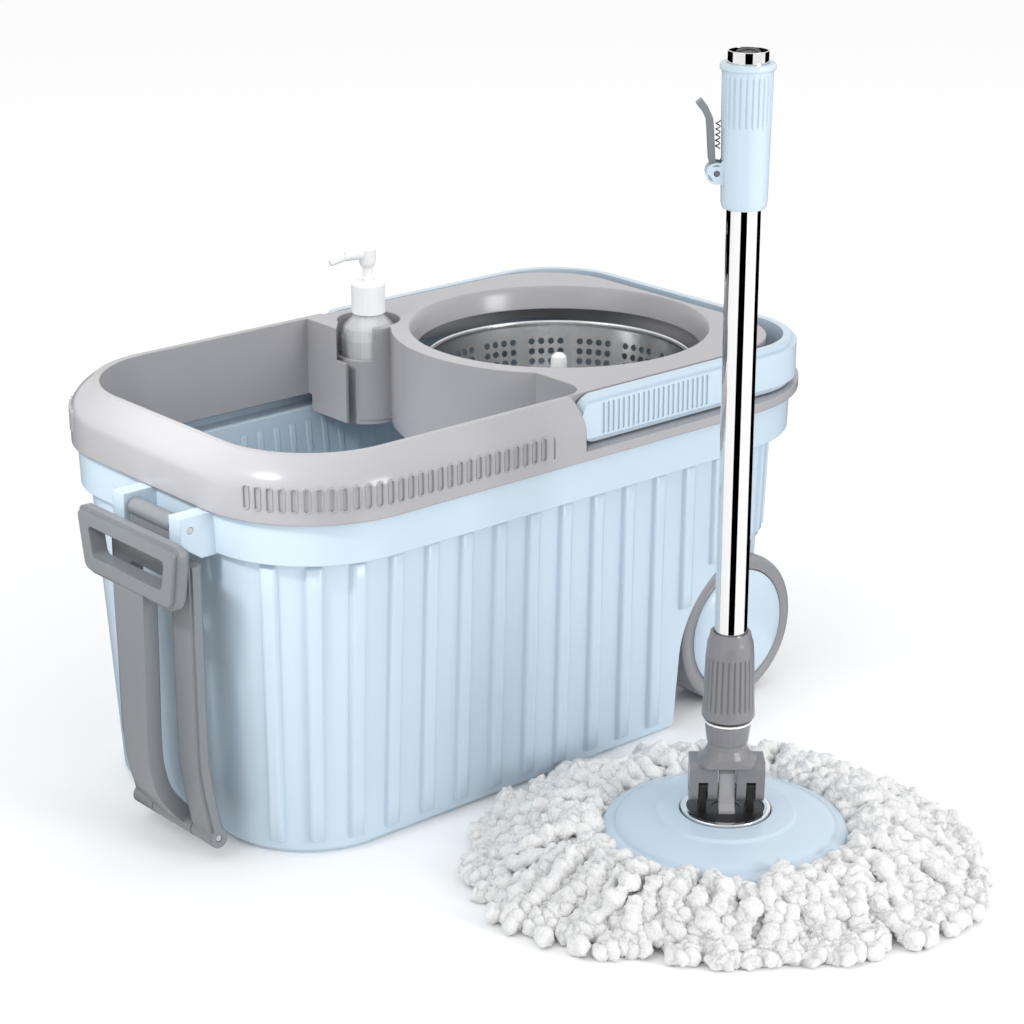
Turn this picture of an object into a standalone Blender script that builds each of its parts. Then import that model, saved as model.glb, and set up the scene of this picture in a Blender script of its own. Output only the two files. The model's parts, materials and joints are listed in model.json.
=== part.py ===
"""Spin mop set: wheeled bucket with wringing basket, soap pump, folding pull handle, and the mop.

Metres, +Z up. X runs along the bucket: the basket and the wheels are at +X, the pull handle at -X.
The front long side faces -Y, where the mop stands. The origin is on the bucket's underside.
"""

from math import cos, pi, radians, sin

import bmesh
import bpy
from mathutils import Matrix, Vector

# ---- driving dimensions -------------------------------------------------------------------------

RIM_TOP = 0.2736                 # the deck and the top of the rim
LIP_LOW = 0.2340                 # lower edge of the grey rim
LIP_TOP = 0.2405                 # ledge that the carry handle lies on
RIM_X = (-0.302, 0.199)          # ends of the grey rim
RIM_HALF = 0.149                 # half its width
RIM_R = (0.085, 0.106)           # its corner radii, left end and right end
WALL = 0.0022                    # plastic wall

OPEN_X = (-0.283, -0.044)        # the water opening
OPEN_HALF = 0.129
OPEN_R = (0.068, 0.018)
SKIRT_LOW = 0.218                # lower edge of the skirt round the opening

BASKET = (0.0462, 0.0)           # centre of the wringing basket
WELL_R = 0.105
BASKET_R = 0.0970
BASKET_TOP = 0.2505
BASKET_FLOOR = 0.138
PARTITION_R = 0.119

HOLDER = (-0.0465, 0.0995)         # centre of the soap holder
HOLDER_R = 0.0225
HOLDER_LOW = 0.203
NOTCH = ((-0.0730, 0.0629), (-0.0922, 0.0796), (-0.0627, 0.1136), (-0.0435, 0.0969))
NOTCH_LOW = 0.2500               # the holder's open side faces the water opening

WHEEL = (0.123, 0.055)           # wheel axis, x and z
WHEEL_R = 0.055
ARCH_R = 0.0715
TRACK = (0.072, 0.110)           # inner and outer face of a wheel

BAIL = (-0.046, 0.2575)          # carry handle pivot, x and z
BAIL_OUT = 0.1425                # half the width over the handle
BAIL_THICK = 0.0095
BAIL_END = 0.1760
DECK_HALF = 0.1308               # the deck between the handle's arms
DECK_END = 0.1560

PULL_TOP = (-0.3155, 0.2245)     # upper hinge of the pull handle, x and z
PULL_LOW = (-0.3085, 0.0165)     # lower hinge
LEG_Y = (0.0225, 0.0445)         # inner and outer side of a leg
PULL_PIN_R = 0.0020
PULL_Y = -0.0300                 # the pull handle sits off the middle, towards the mop

MOP = (-0.0742, -0.2924)         # where the mop stands
MOP_TURN = radians(-40.93)       # the tilt pin's direction from +X
STRAND_R = 0.160
DISC_R = 0.0775
TILT_Z = 0.0585                  # height of the tilt pin
LOWER_R = 0.0100                 # lower tube
UPPER_R = 0.0118                 # upper tube
SLEEVE = (0.428, 0.512)          # lock sleeve, bottom and top
LEVER = (-0.0166, 0.449)         # lever pin, sideways and height


# ---- scene helpers ------------------------------------------------------------------------------
for old in list(bpy.data.objects):
    bpy.data.objects.remove(old)

parts = bpy.data.collections.new("spin_mop")
cutters = bpy.data.collections.new("spin_mop_cutters")
bpy.context.scene.collection.children.link(parts)
bpy.context.scene.collection.children.link(cutters)


def material(name, colour, roughness, metallic=0.0):
    made = bpy.data.materials.new(name)
    made.use_nodes = True
    shader = made.node_tree.nodes["Principled BSDF"]
    shader.inputs["Base Color"].default_value = (*colour, 1.0)
    shader.inputs["Roughness"].default_value = roughness
    shader.inputs["Metallic"].default_value = metallic
    return made


BLUE = material("pale_blue_plastic", (0.53, 0.67, 0.78), 0.35)
GREY = material("light_grey_plastic", (0.47, 0.47, 0.49), 0.40)
DARK_GREY = material("mid_grey_plastic", (0.26, 0.26, 0.28), 0.40)
BLACK = material("black_plastic", (0.02, 0.02, 0.02), 0.50)
WHITE = material("white_plastic", (0.85, 0.85, 0.85), 0.35)
CLEAR = material("clear_plastic", (0.80, 0.84, 0.87), 0.10)
STEEL = material("stainless_steel", (0.62, 0.62, 0.62), 0.25, 1.0)
CHROME = material("chrome", (0.80, 0.80, 0.82), 0.06, 1.0)
YARN = material("white_yarn", (0.90, 0.90, 0.90), 0.95)


def new_object(name, mesh, look=None):
    """A named piece when it has a material, else a helper for cutting and joining."""
    made = bpy.data.objects.new(name, mesh)
    if look is None:
        cutters.objects.link(made)
        made.hide_render = True
        made.display_type = "WIRE"
    else:
        parts.objects.link(made)
        mesh.materials.append(look)
    return made


def finish_mesh(bm, name, look):
    bmesh.ops.recalc_face_normals(bm, faces=bm.faces)
    mesh = bpy.data.meshes.new(name)
    bm.to_mesh(mesh)
    bm.free()
    if look is not None:
        mesh.shade_smooth()
        mesh.set_sharp_from_angle(angle=radians(35))
    return new_object(name, mesh, look)


def box(name, x, y, z, look=None, bevel=0.0):
    """A box between the pairs x, y and z."""
    bm = bmesh.new()
    bmesh.ops.create_cube(bm, size=1.0)
    for vertex in bm.verts:
        for axis, (low, high) in enumerate((x, y, z)):
            vertex.co[axis] = low if vertex.co[axis] < 0 else high
    if bevel:
        bmesh.ops.bevel(bm, geom=bm.edges, offset=bevel, segments=2, affect="EDGES")
    return finish_mesh(bm, name, look)


def rod(name, start, end, radius, look=None, end_radius=None, segments=24, bevel=0.0):
    """A round rod or cone from start to end."""
    start, end = Vector(start), Vector(end)
    bm = bmesh.new()
    bmesh.ops.create_cone(
        bm, cap_ends=True, segments=segments, radius1=radius,
        radius2=radius if end_radius is None else end_radius, depth=(end - start).length)
    if bevel:
        rims = [e for e in bm.edges if abs(e.verts[0].co.z - e.verts[1].co.z) < 1e-6]
        bmesh.ops.bevel(bm, geom=rims, offset=bevel, segments=1, affect="EDGES")
    turn = Vector((0, 0, 1)).rotation_difference(end - start).to_matrix().to_4x4()
    bmesh.ops.transform(bm, matrix=Matrix.Translation((start + end) / 2) @ turn, verts=bm.verts)
    return finish_mesh(bm, name, look)


def slab(name, outline, low, high, look=None, plane="XY", bevel=0.0):
    """A flat outline extruded from low to high, square to its plane."""
    place = {"XY": lambda a, b, c: (a, b, c), "XZ": lambda a, b, c: (a, c, b),
             "YZ": lambda a, b, c: (c, a, b)}[plane]
    bm = bmesh.new()
    face = bm.faces.new([bm.verts.new(place(a, b, low)) for a, b in outline])
    grown = bmesh.ops.extrude_face_region(bm, geom=[face])
    step = Vector(place(0.0, 0.0, high)) - Vector(place(0.0, 0.0, low))
    for item in grown["geom"]:
        if isinstance(item, bmesh.types.BMVert):
            item.co += step
    if bevel:
        normal = step.normalized()
        rims = [e for e in bm.edges
                if abs((e.verts[0].co - e.verts[1].co).dot(normal)) < 1e-6]
        bmesh.ops.recalc_face_normals(bm, faces=bm.faces)
        bmesh.ops.bevel(bm, geom=rims, offset=bevel, segments=2, affect="EDGES")
    return finish_mesh(bm, name, look)


def loft(name, rings, look=None):
    """A closed body through outlines of equal length, each with its height, bottom to top."""
    bm = bmesh.new()
    loops = [[bm.verts.new((x, y, z)) for x, y in outline] for outline, z in rings]
    for below, above in zip(loops, loops[1:]):
        for i, corner in enumerate(below):
            j = (i + 1) % len(below)
            bm.faces.new((corner, below[j], above[j], above[i]))
    bm.faces.new(loops[0][::-1])
    bm.faces.new(loops[-1])
    return finish_mesh(bm, name, look)


def turned(name, profile, look=None, centre=(0.0, 0.0), axis="Z", steps=24):
    """A turned body. The profile holds (radius, height) pairs, down its outer side.

    A profile that starts and ends on the axis is left open there; any other one is a closed loop.
    """
    mesh = bpy.data.meshes.new(name)
    on_axis = profile[0][0] == 0.0 and profile[-1][0] == 0.0
    edges = [(i, i + 1) for i in range(len(profile) - 1)]
    if not on_axis:
        edges.append((len(profile) - 1, 0))
    mesh.from_pydata([(r, 0.0, h) for r, h in profile], edges, [])
    made = new_object(name, mesh, look)
    screw = made.modifiers.new("turn", "SCREW")
    screw.steps = steps
    screw.render_steps = steps
    screw.use_merge_vertices = True
    screw.merge_threshold = 0.00002
    screw.use_smooth_shade = True
    if axis == "Z":
        made.location = (centre[0], centre[1], 0.0)
    else:
        made.rotation_euler = (radians(-90 if axis == "+Y" else 90), 0.0, 0.0)
        made.location = (centre[0], 0.0, centre[1])
    return made


def boolean(target, tool, operation):
    step = target.modifiers.new(operation.lower() + "_" + tool.name, "BOOLEAN")
    step.operation = operation
    step.solver = "EXACT"
    step.object = tool
    return target


def cut(target, *tools):
    for tool in tools:
        boolean(target, tool, "DIFFERENCE")
    return target


def join(target, *tools):
    for tool in tools:
        boolean(target, tool, "UNION")
    return target


def keep(target, *tools):
    for tool in tools:
        boolean(target, tool, "INTERSECT")
    return target


def arc(centre, radius, start, end, steps):
    """Points on an arc, angles in degrees."""
    angles = [radians(start + (end - start) * i / steps) for i in range(steps + 1)]
    return [(centre[0] + radius * cos(a), centre[1] + radius * sin(a)) for a in angles]


def rounded(x, half, radii, steps=8):
    """A rectangle's outline, x[0] to x[1] and -half to half, with radii left and right."""
    (left, right), (r_left, r_right) = x, radii
    return (arc((left + r_left, -half + r_left), r_left, 180, 270, steps)
            + arc((right - r_right, -half + r_right), r_right, 270, 360, steps)
            + arc((right - r_right, half - r_right), r_right, 0, 90, steps)
            + arc((left + r_left, half - r_left), r_left, 90, 180, steps))


def grown(x, half, radii, by):
    """The same outline, larger all round by the distance given."""
    return rounded((x[0] - by, x[1] + by), half + by, (radii[0] + by, radii[1] + by))


# ---- bucket -------------------------------------------------------------------------------------
ARCH_FOOT = 0.050                # where the wheel arch meets the floor
ARCH_WALL = 0.0024
BRACKET_Y = (0.062, 0.066)
TOWER_TOP = 0.1285
SPINDLE_R = 0.004
AXLE_R = 0.004


def wheel_arch(name, grow, reach):
    """The tunnel over the wheels: a round vault that runs down to the floor."""
    radius = ARCH_R + grow
    vault = arc(WHEEL, radius, 0, 180, 22)
    outline = vault + [(ARCH_FOOT - grow, -0.01), (WHEEL[0] + radius, -0.01)]
    return slab(name, outline, -reach, reach, plane="XZ")


def bucket_shell():
    bottom = (-0.285, 0.165)
    low, high = (-0.2935, 0.1745), (-0.2975, 0.1900)
    outer = [(grown(bottom, 0.1185, (0.066, 0.066), -0.004), 0.0),
             (rounded(bottom, 0.1185, (0.066, 0.066)), 0.004),
             (rounded(low, 0.1320, (0.072, 0.088)), 0.2050),
             (rounded(high, 0.1430, (0.079, 0.097)), 0.2060),
             (grown(high, 0.1430, (0.079, 0.097), 0.001), 0.2375)]
    inner = [(grown(bottom, 0.1185, (0.066, 0.066), -WALL - 0.002), 0.0025),
             (grown(bottom, 0.1185, (0.066, 0.066), -WALL), 0.006),
             (grown(low, 0.1320, (0.072, 0.088), -WALL), 0.2072),
             (grown(high, 0.1430, (0.079, 0.097), -WALL), 0.2090),
             (grown(high, 0.1430, (0.079, 0.097), -WALL + 0.001), 0.2395)]
    shell = loft("bucket_shell", outer, BLUE)
    for side, sign in (("front", -1), ("rear", 1)):
        lug_y = sorted((sign * 0.0250, sign * 0.0375))
        outline = [(-0.290, 0.2050), (-0.3080, 0.2050), (-0.3225, 0.2150), (-0.3225, 0.2332),
                   (-0.290, 0.2332)]
        lug = slab("lug_" + side, outline, *lug_y, plane="XZ")
        lug.location.y = PULL_Y
        join(shell, lug)

    tunnel = wheel_arch("tunnel", 0.0, 0.20)
    for side, sign in (("front", -1), ("rear", 1)):
        bracket_y = sorted((sign * BRACKET_Y[0], sign * BRACKET_Y[1]))
        bracket = box("bracket_" + side, (WHEEL[0] - 0.012, WHEEL[0] + 0.012), bracket_y,
                      (0.042, 0.135))
        cut(tunnel, bracket)
    tower = rod("tower", (*BASKET, -0.01), (*BASKET, TOWER_TOP), 0.017, end_radius=0.011)
    hollow = cut(loft("bucket_hollow", inner), wheel_arch("vault", ARCH_WALL, 0.21), tower)
    spindle_hole = rod("spindle_hole", (*BASKET, 0.099), (*BASKET, 0.14), SPINDLE_R + 0.0003)
    axle_hole = rod("axle_hole", (WHEEL[0], -0.07, WHEEL[1]), (WHEEL[0], 0.07, WHEEL[1]),
                    AXLE_R + 0.0003)
    hinge_hole = rod("hinge_hole", (PULL_TOP[0], -0.04, PULL_TOP[1]),
                     (PULL_TOP[0], 0.04, PULL_TOP[1]), PULL_PIN_R + 0.0003, segments=16)
    hinge_hole.location.y = PULL_Y
    return cut(shell, tunnel, hollow, spindle_hole, axle_hole, hinge_hole)


def opening(name, grow, low, high):
    """The water opening's plan: a rounded rectangle less the basket side and the soap holder."""
    made = slab(name, grown(OPEN_X, OPEN_HALF, OPEN_R, grow), low, high)
    beyond = (low - 0.01, high + 0.01)
    basket_side = rod(name + "_basket_side", (*BASKET, beyond[0]), (*BASKET, beyond[1]),
                      PARTITION_R - grow, segments=44)
    holder_side = rod(name + "_holder_side", (*HOLDER, beyond[0]), (*HOLDER, beyond[1]),
                      HOLDER_R + 0.0035 - grow)
    corner = box(name + "_corner", (-0.0790 + grow, 0.0), (0.085, 0.2), beyond)
    return cut(made, basket_side, corner, holder_side)


def rim_frame():
    """The grey top: rim, deck, skirt round the opening, basket well and soap holder."""
    deck = ((-0.20, DECK_END), DECK_HALF, (0.02, 0.060))
    shoulder = [(0.0, LIP_LOW), (0.0, 0.2530), (-0.0012, 0.2585), (-0.0050, 0.2648),
                (-0.0105, 0.2700), (-0.0150, RIM_TOP)]
    rim = loft("rim_frame", [(grown(RIM_X, RIM_HALF, RIM_R, by), z) for by, z in shoulder], GREY)

    above = (LIP_TOP, RIM_TOP + 0.02)
    start = BAIL[0] - 0.0175
    recess = box("handle_recess", (start, 0.25), (-0.2, 0.2), above)
    cut(recess, slab("deck_block", rounded(*deck), LIP_TOP - 0.01, RIM_TOP + 0.03))
    cut(rim, recess)

    hollow_low = slab("rim_hollow_low", grown(RIM_X, RIM_HALF, RIM_R, -WALL - 0.0003), 0.20, 0.2383)
    band = loft("rim_hollow_band", [(grown(RIM_X, RIM_HALF, RIM_R, -WALL), 0.195)]
                + [(grown(RIM_X, RIM_HALF, RIM_R, by - WALL), z - WALL * 0.5)
                   for by, z in shoulder[1:-1]]
                + [(grown(RIM_X, RIM_HALF, RIM_R, shoulder[-1][0] - WALL), RIM_TOP - WALL)])
    keep(band, box("band_end", (-0.4, start - WALL), (-0.2, 0.2), (0.18, 0.3)))
    under_deck = slab("rim_hollow_deck", grown(*deck, -WALL), 0.2305, RIM_TOP - WALL - 0.0001)
    cut(rim, band, hollow_low, under_deck)

    skirt = opening("skirt", WALL, SKIRT_LOW, RIM_TOP - 0.001)
    deep = opening("partition", WALL + 0.0002, 0.206, RIM_TOP - 0.0012)
    keep(deep, box("partition_side", (-0.096, 0.05), (-0.1255, 0.1255), (0.1, 0.4)))
    holder = rod("holder_outer", (*HOLDER, HOLDER_LOW), (*HOLDER, RIM_TOP - 0.0011),
                 HOLDER_R + 0.0032, segments=26)
    well = turned("well_outer", [(0.0, RIM_TOP - 0.0009), (WELL_R + 0.0030, RIM_TOP - 0.0009),
                                 (0.1038, 0.2640), (0.1032, 0.2575), (0.0, 0.2575)],
                  centre=BASKET, steps=36)
    join(rim, skirt, deep, holder, well)

    well_hole = turned("well_hole", [
        (0.0, 0.30), (WELL_R + 0.0012, 0.30), (WELL_R + 0.0012, RIM_TOP), (WELL_R - 0.0002, 0.2719),
        (0.1036, 0.2680), (0.1020, 0.2625), (0.1010, 0.2570), (0.1002, 0.2400), (0.0, 0.2400)],
        centre=BASKET, steps=36)
    holder_hole = rod("holder_hole", (*HOLDER, HOLDER_LOW + 0.003), (*HOLDER, 0.30), HOLDER_R,
                      segments=22)
    window = slab("holder_window", NOTCH, NOTCH_LOW, 0.30)
    water = opening("opening_hole", 0.0, 0.19, 0.30)
    cut(rim, water, well_hole, holder_hole, window)
    for side, sign in (("front", -1), ("rear", 1)):
        cut(rim, rod("bail_pin_hole_" + side, (BAIL[0], sign * 0.1262, BAIL[1]),
                     (BAIL[0], sign * 0.2, BAIL[1]), 0.0043))
    return rim


def basket_parts():
    x, y = BASKET
    rod("basket_spindle", (x, y, 0.1005), (x, y, 0.158), SPINDLE_R, STEEL, bevel=0.0006)
    turned("basket_bush", [(0.010, 0.1330), (0.010, 0.1289), (0.0043, 0.1289), (0.0043, 0.1330)],
           WHITE, BASKET, steps=24)
    top, floor, sheet = BASKET_TOP, BASKET_FLOOR, 0.0012
    turned("spin_basket", [
        (0.0932, top - 0.0006), (0.0950, top), (BASKET_R, top - 0.0012),
        (BASKET_R, top - 0.0034), (0.0946, top - 0.0044), (0.0822, floor + 0.012),
        (0.0755, floor), (0.0125, floor), (0.0125, floor + sheet), (0.0749, floor + sheet),
        (0.0810, floor + 0.0126)], STEEL, BASKET, steps=36)
    turned("basket_post", [
        (0.0, 0.2530), (0.0030, 0.2526), (0.0052, 0.2505), (0.0058, 0.2470), (0.0065, 0.1900),
        (0.0110, 0.1500), (0.0170, 0.1440), (0.0280, 0.1430), (0.0285, 0.1396), (0.0120, 0.1396),
        (0.0120, 0.1335), (0.0043, 0.1335), (0.0043, 0.1600), (0.0, 0.1600)], WHITE, BASKET,
        steps=18)
    turned("basket_lock_ring", [(0.0240, 0.1376), (0.0240, 0.1345), (0.0124, 0.1345),
                                (0.0124, 0.1376)], WHITE, BASKET, steps=24)


# ---- carry handle -------------------------------------------------------------------------------
def carry_handle():
    """A bail that lies in the rim's ledge and swings up about two pins."""
    low, high = LIP_TOP + 0.0010, RIM_TOP - 0.0001
    radius = (high - low) / 2
    far = (-0.30, BAIL_END)
    handle = slab("carry_handle", rounded(far, BAIL_OUT, (0.02, 0.062)), low, high, BLUE,
                  bevel=0.0016)
    inside = slab("bail_inside", rounded((-0.35, BAIL_END - BAIL_THICK), BAIL_OUT - BAIL_THICK,
                                         (0.02, 0.0525)), 0.2, 0.3)
    middle = (low + high) / 2
    side = arc((BAIL[0], middle), radius, 90, 270, 10) + [(0.25, low), (0.25, high)]
    outline = slab("bail_side", side, -0.2, 0.2, plane="XZ")
    pin_holes = rod("bail_bore", (BAIL[0], -0.1395, BAIL[1]), (BAIL[0], 0.1395, BAIL[1]), 0.0043)
    cut(keep(handle, outline), inside, pin_holes)
    for side_name, sign in (("front", -1), ("rear", 1)):
        rod("bail_pin_" + side_name, (BAIL[0], sign * 0.1270, BAIL[1]),
            (BAIL[0], sign * 0.1390, BAIL[1]), 0.0039, STEEL, segments=20, bevel=0.0004)


# ---- wheels -------------------------------------------------------------------------------------
def wheels():
    x, z = WHEEL
    rod("wheel_axle", (x, -0.1010, z), (x, 0.1010, z), AXLE_R, STEEL, segments=16, bevel=0.0005)
    inner, outer = TRACK
    for side, sign, axis in (("front", -1, "-Y"), ("rear", 1, "+Y")):
        turned("wheel_" + side, [
            (0.0500, outer), (0.0538, outer - 0.0012), (WHEEL_R, outer - 0.0045),
            (WHEEL_R, inner + 0.0030), (0.0520, inner), (0.0440, inner),
            (0.0440, inner + 0.0140), (0.0110, inner + 0.0140), (0.0110, inner - 0.0040),
            (0.0043, inner - 0.0040), (0.0043, inner + 0.0230), (0.0110, inner + 0.0230),
            (0.0110, inner + 0.0170), (0.0448, inner + 0.0170), (0.0448, outer)],
            DARK_GREY, WHEEL, axis, steps=32)
        turned("wheel_cap_" + side, [
            (0.0, outer + 0.0075), (0.0200, outer + 0.0066), (0.0380, outer + 0.0030),
            (0.0444, outer - 0.0010), (0.0444, outer - 0.0080), (0.0422, outer - 0.0080),
            (0.0422, outer - 0.0020), (0.0370, outer + 0.0008), (0.0200, outer + 0.0042),
            (0.0, outer + 0.0052)], BLUE, WHEEL, axis, steps=28)
        turned("axle_clip_" + side, [(0.0095, 0.0985), (0.0095, 0.0972), (0.0043, 0.0972),
                                     (0.0043, 0.0985)], STEEL, WHEEL, axis, steps=16)


# ---- folding pull handle ------------------------------------------------------------------------
def band_along(points, thickness):
    """The outline of a strip of even thickness along a bent centre line."""
    left, right = [], []
    for i, point in enumerate(points):
        here = Vector(point)
        before = Vector(points[max(i - 1, 0)])
        after = Vector(points[min(i + 1, len(points) - 1)])
        along = (after - before).normalized()
        side = Vector((-along.y, along.x)) * thickness / 2
        left.append(tuple(here + side))
        right.append(tuple(here - side))
    return left + right[::-1]


def pull_handle():
    pin_hole_r = PULL_PIN_R + 0.0003
    top, low = PULL_TOP, PULL_LOW
    leg_x = top[0] - 0.0015
    leg = [(leg_x, 0.2120), (leg_x, 0.0750), (leg_x + 0.0012, 0.0600),
           (leg_x + 0.0040, 0.0420), (low[0], 0.0200)]
    outline = band_along(leg, 0.0095)
    inner, outer = LEG_Y
    frame = slab("pull_frame", outline, -outer, outer, DARK_GREY, plane="XZ")
    window = box("frame_window", (-0.36, -0.28), (-inner, inner), (0.0, 0.1900))
    cut(frame, window)
    neck = slab("frame_neck", band_along([(leg_x, 0.1950), (leg_x, 0.2120), top], 0.0085),
                -0.0225, 0.0225, plane="XZ")
    shoulders = box("frame_shoulders", (-0.36, -0.28), (-0.1, 0.1), (0.2035, 0.24))
    cut(shoulders, box("neck_room", (-0.37, -0.27), (-0.0225, 0.0225), (0.19, 0.25)))
    cut(frame, shoulders)
    barrel = rod("frame_barrel", (top[0], -0.0225, top[1]), (top[0], 0.0225, top[1]), 0.0060)
    join(frame, neck, barrel)
    knuckle = rod("frame_knuckles", (low[0], -outer, low[1]), (low[0], outer, low[1]), 0.0065)
    knuckle_gap = box("knuckle_gap", (-0.36, -0.28), (-inner + 0.0001, inner - 0.0001), (0.0, 0.03))
    join(frame, cut(knuckle, knuckle_gap))
    cut(frame, rod("frame_bore", (top[0], -0.05, top[1]), (top[0], 0.05, top[1]), pin_hole_r,
                   segments=16),
        rod("knuckle_bore", (low[0], -0.05, low[1]), (low[0], 0.05, low[1]), pin_hole_r,
            segments=16))
    for name, (x, z), reach in (("pull_frame_pin", top, 0.0372), ("pull_grip_pin", low, 0.0440)):
        rod(name, (x, -reach, z), (x, reach, z), PULL_PIN_R, STEEL, segments=16)

    grip_x = (-0.3390, -0.3275)
    stem_x = sum(grip_x) / 2
    ring = [(-0.0575, 0.2225), (-0.0500, 0.1790), (0.0500, 0.1790), (0.0575, 0.2225)]
    grip = slab("pull_grip", ring, *grip_x, DARK_GREY, plane="YZ", bevel=0.0022)
    hole = [(-0.0425, 0.2115), (-0.0385, 0.1915), (0.0385, 0.1915), (0.0425, 0.2115)]
    cut(grip, slab("grip_hole", hole, -0.36, -0.30, plane="YZ"))
    stem_line = [(stem_x, 0.1850), (stem_x, 0.0750), (stem_x + 0.0020, 0.0580),
                 (stem_x + 0.0080, 0.0400), (low[0], 0.0190)]
    stem = slab("grip_stem", band_along(stem_line, 0.0105), -0.0165, 0.0165, plane="XZ")
    taper = [(-0.0165, 0.25), (-0.0165, 0.1700), (-0.0135, 0.0600), (-0.0135, -0.01),
             (0.0135, -0.01), (0.0135, 0.0600), (0.0165, 0.1700), (0.0165, 0.25)]
    keep(stem, slab("stem_taper", taper, -0.36, -0.28, plane="YZ"))
    stem_barrel = rod("stem_barrel", (low[0], -inner + 0.0008, low[1]),
                      (low[0], inner - 0.0008, low[1]), 0.0065)
    join(grip, stem, stem_barrel)
    cut(grip, rod("stem_bore", (low[0], -0.05, low[1]), (low[0], 0.05, low[1]), pin_hole_r,
                  segments=16))


# ---- soap pump ----------------------------------------------------------------------------------
NECK_TOP = 0.2860
COLLAR_TOP = 0.3025
PUMP_SPRING = (0.2368, 0.2576)   # seat and top of the return spring


def coil(name, look, centre, radius, wire, ends, turns, per_turn=10):
    """A compression spring with its axis upright, as a round wire."""
    count = turns * per_turn
    data = bpy.data.curves.new(name, "CURVE")
    data.dimensions = "3D"
    data.bevel_depth = wire
    data.bevel_resolution = 1
    data.resolution_u = 1
    data.render_resolution_u = 0
    data.use_fill_caps = True
    line = data.splines.new("POLY")
    line.points.add(count)
    low, high = ends[0] + wire, ends[1] - wire
    for i, point in enumerate(line.points):
        angle = 2 * pi * i / per_turn
        point.co = (centre[0] + radius * cos(angle), centre[1] + radius * sin(angle),
                    low + (high - low) * i / count, 1.0)
    data.materials.append(look)
    made = bpy.data.objects.new(name, data)
    parts.objects.link(made)
    return made


def soap_pump():
    x, y = HOLDER
    floor = HOLDER_LOW + 0.0035
    wall = 0.0012
    inside = [(0.0, floor + wall), (0.0180, floor + wall), (0.0193, floor + 0.0035),
              (0.0193, 0.2610), (0.0172, 0.2683), (0.0125, 0.2730), (0.0088, 0.2767),
              (0.0088, NECK_TOP)]
    outside = [(0.0100, NECK_TOP), (0.0100, 0.2775), (0.0133, 0.2743), (0.0183, 0.2693),
               (0.0205, 0.2615), (0.0205, floor + 0.0030), (0.0188, floor), (0.0, floor)]
    turned("soap_bottle", inside + outside, CLEAR, HOLDER, steps=20)
    turned("pump_collar", [
        (0.0095, COLLAR_TOP), (0.0119, COLLAR_TOP - 0.0030), (0.0119, 0.2790), (0.0105, 0.2790),
        (0.0105, 0.2885), (0.0040, 0.2885), (0.0040, COLLAR_TOP)], WHITE, HOLDER, steps=20)
    turned("pump_chamber", [
        (0.0098, 0.2879), (0.0098, 0.2864), (0.0062, 0.2860), (0.0062, 0.2380), (0.0030, 0.2310),
        (0.0030, 0.2280), (0.0018, 0.2280), (0.0018, 0.2363), (0.0050, 0.2363), (0.0050, 0.2879)],
        CLEAR, HOLDER, steps=16)
    turned("dip_tube", [(0.0027, 0.2276), (0.0027, floor + 0.004), (0.0015, floor + 0.004),
                        (0.0015, 0.2276)], CLEAR, HOLDER, steps=12)
    head = turned("pump_head", [
        (0.0, 0.3275), (0.0050, 0.3268), (0.0062, 0.3250), (0.0058, 0.3150), (0.0048, 0.3125),
        (0.0036, 0.3120), (0.0036, 0.2580), (0.0, 0.2580)], WHITE, HOLDER, steps=20)
    aim = radians(168)
    reach = [(0.004, 0.3222, 0.0042), (0.018, 0.3215, 0.0034), (0.029, 0.3178, 0.0022)]
    for number, (near, far) in enumerate(zip(reach, reach[1:])):
        begin = (x + near[0] * cos(aim), y + near[0] * sin(aim), near[1])
        finish = (x + far[0] * cos(aim), y + far[0] * sin(aim), far[1])
        join(head, rod(f"nozzle_{number}", begin, finish, near[2], end_radius=far[2],
                       segments=12))
    coil("pump_spring", STEEL, HOLDER, 0.0036, 0.0004, PUMP_SPRING, 5, 8)


# ---- mop, in its own frame: X along the tilt pin, -Y towards the front, Z up the pole ----------
STRAND_RING = (0.0165, 0.0205)   # the plate that holds the strands, bottom and top
EAR_X = (0.0125, 0.0172)         # the pivot base's ears
PIN_R = 0.0022
SWIVEL_TOP = 0.1310
TUBE_WALL = 0.0008


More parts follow.
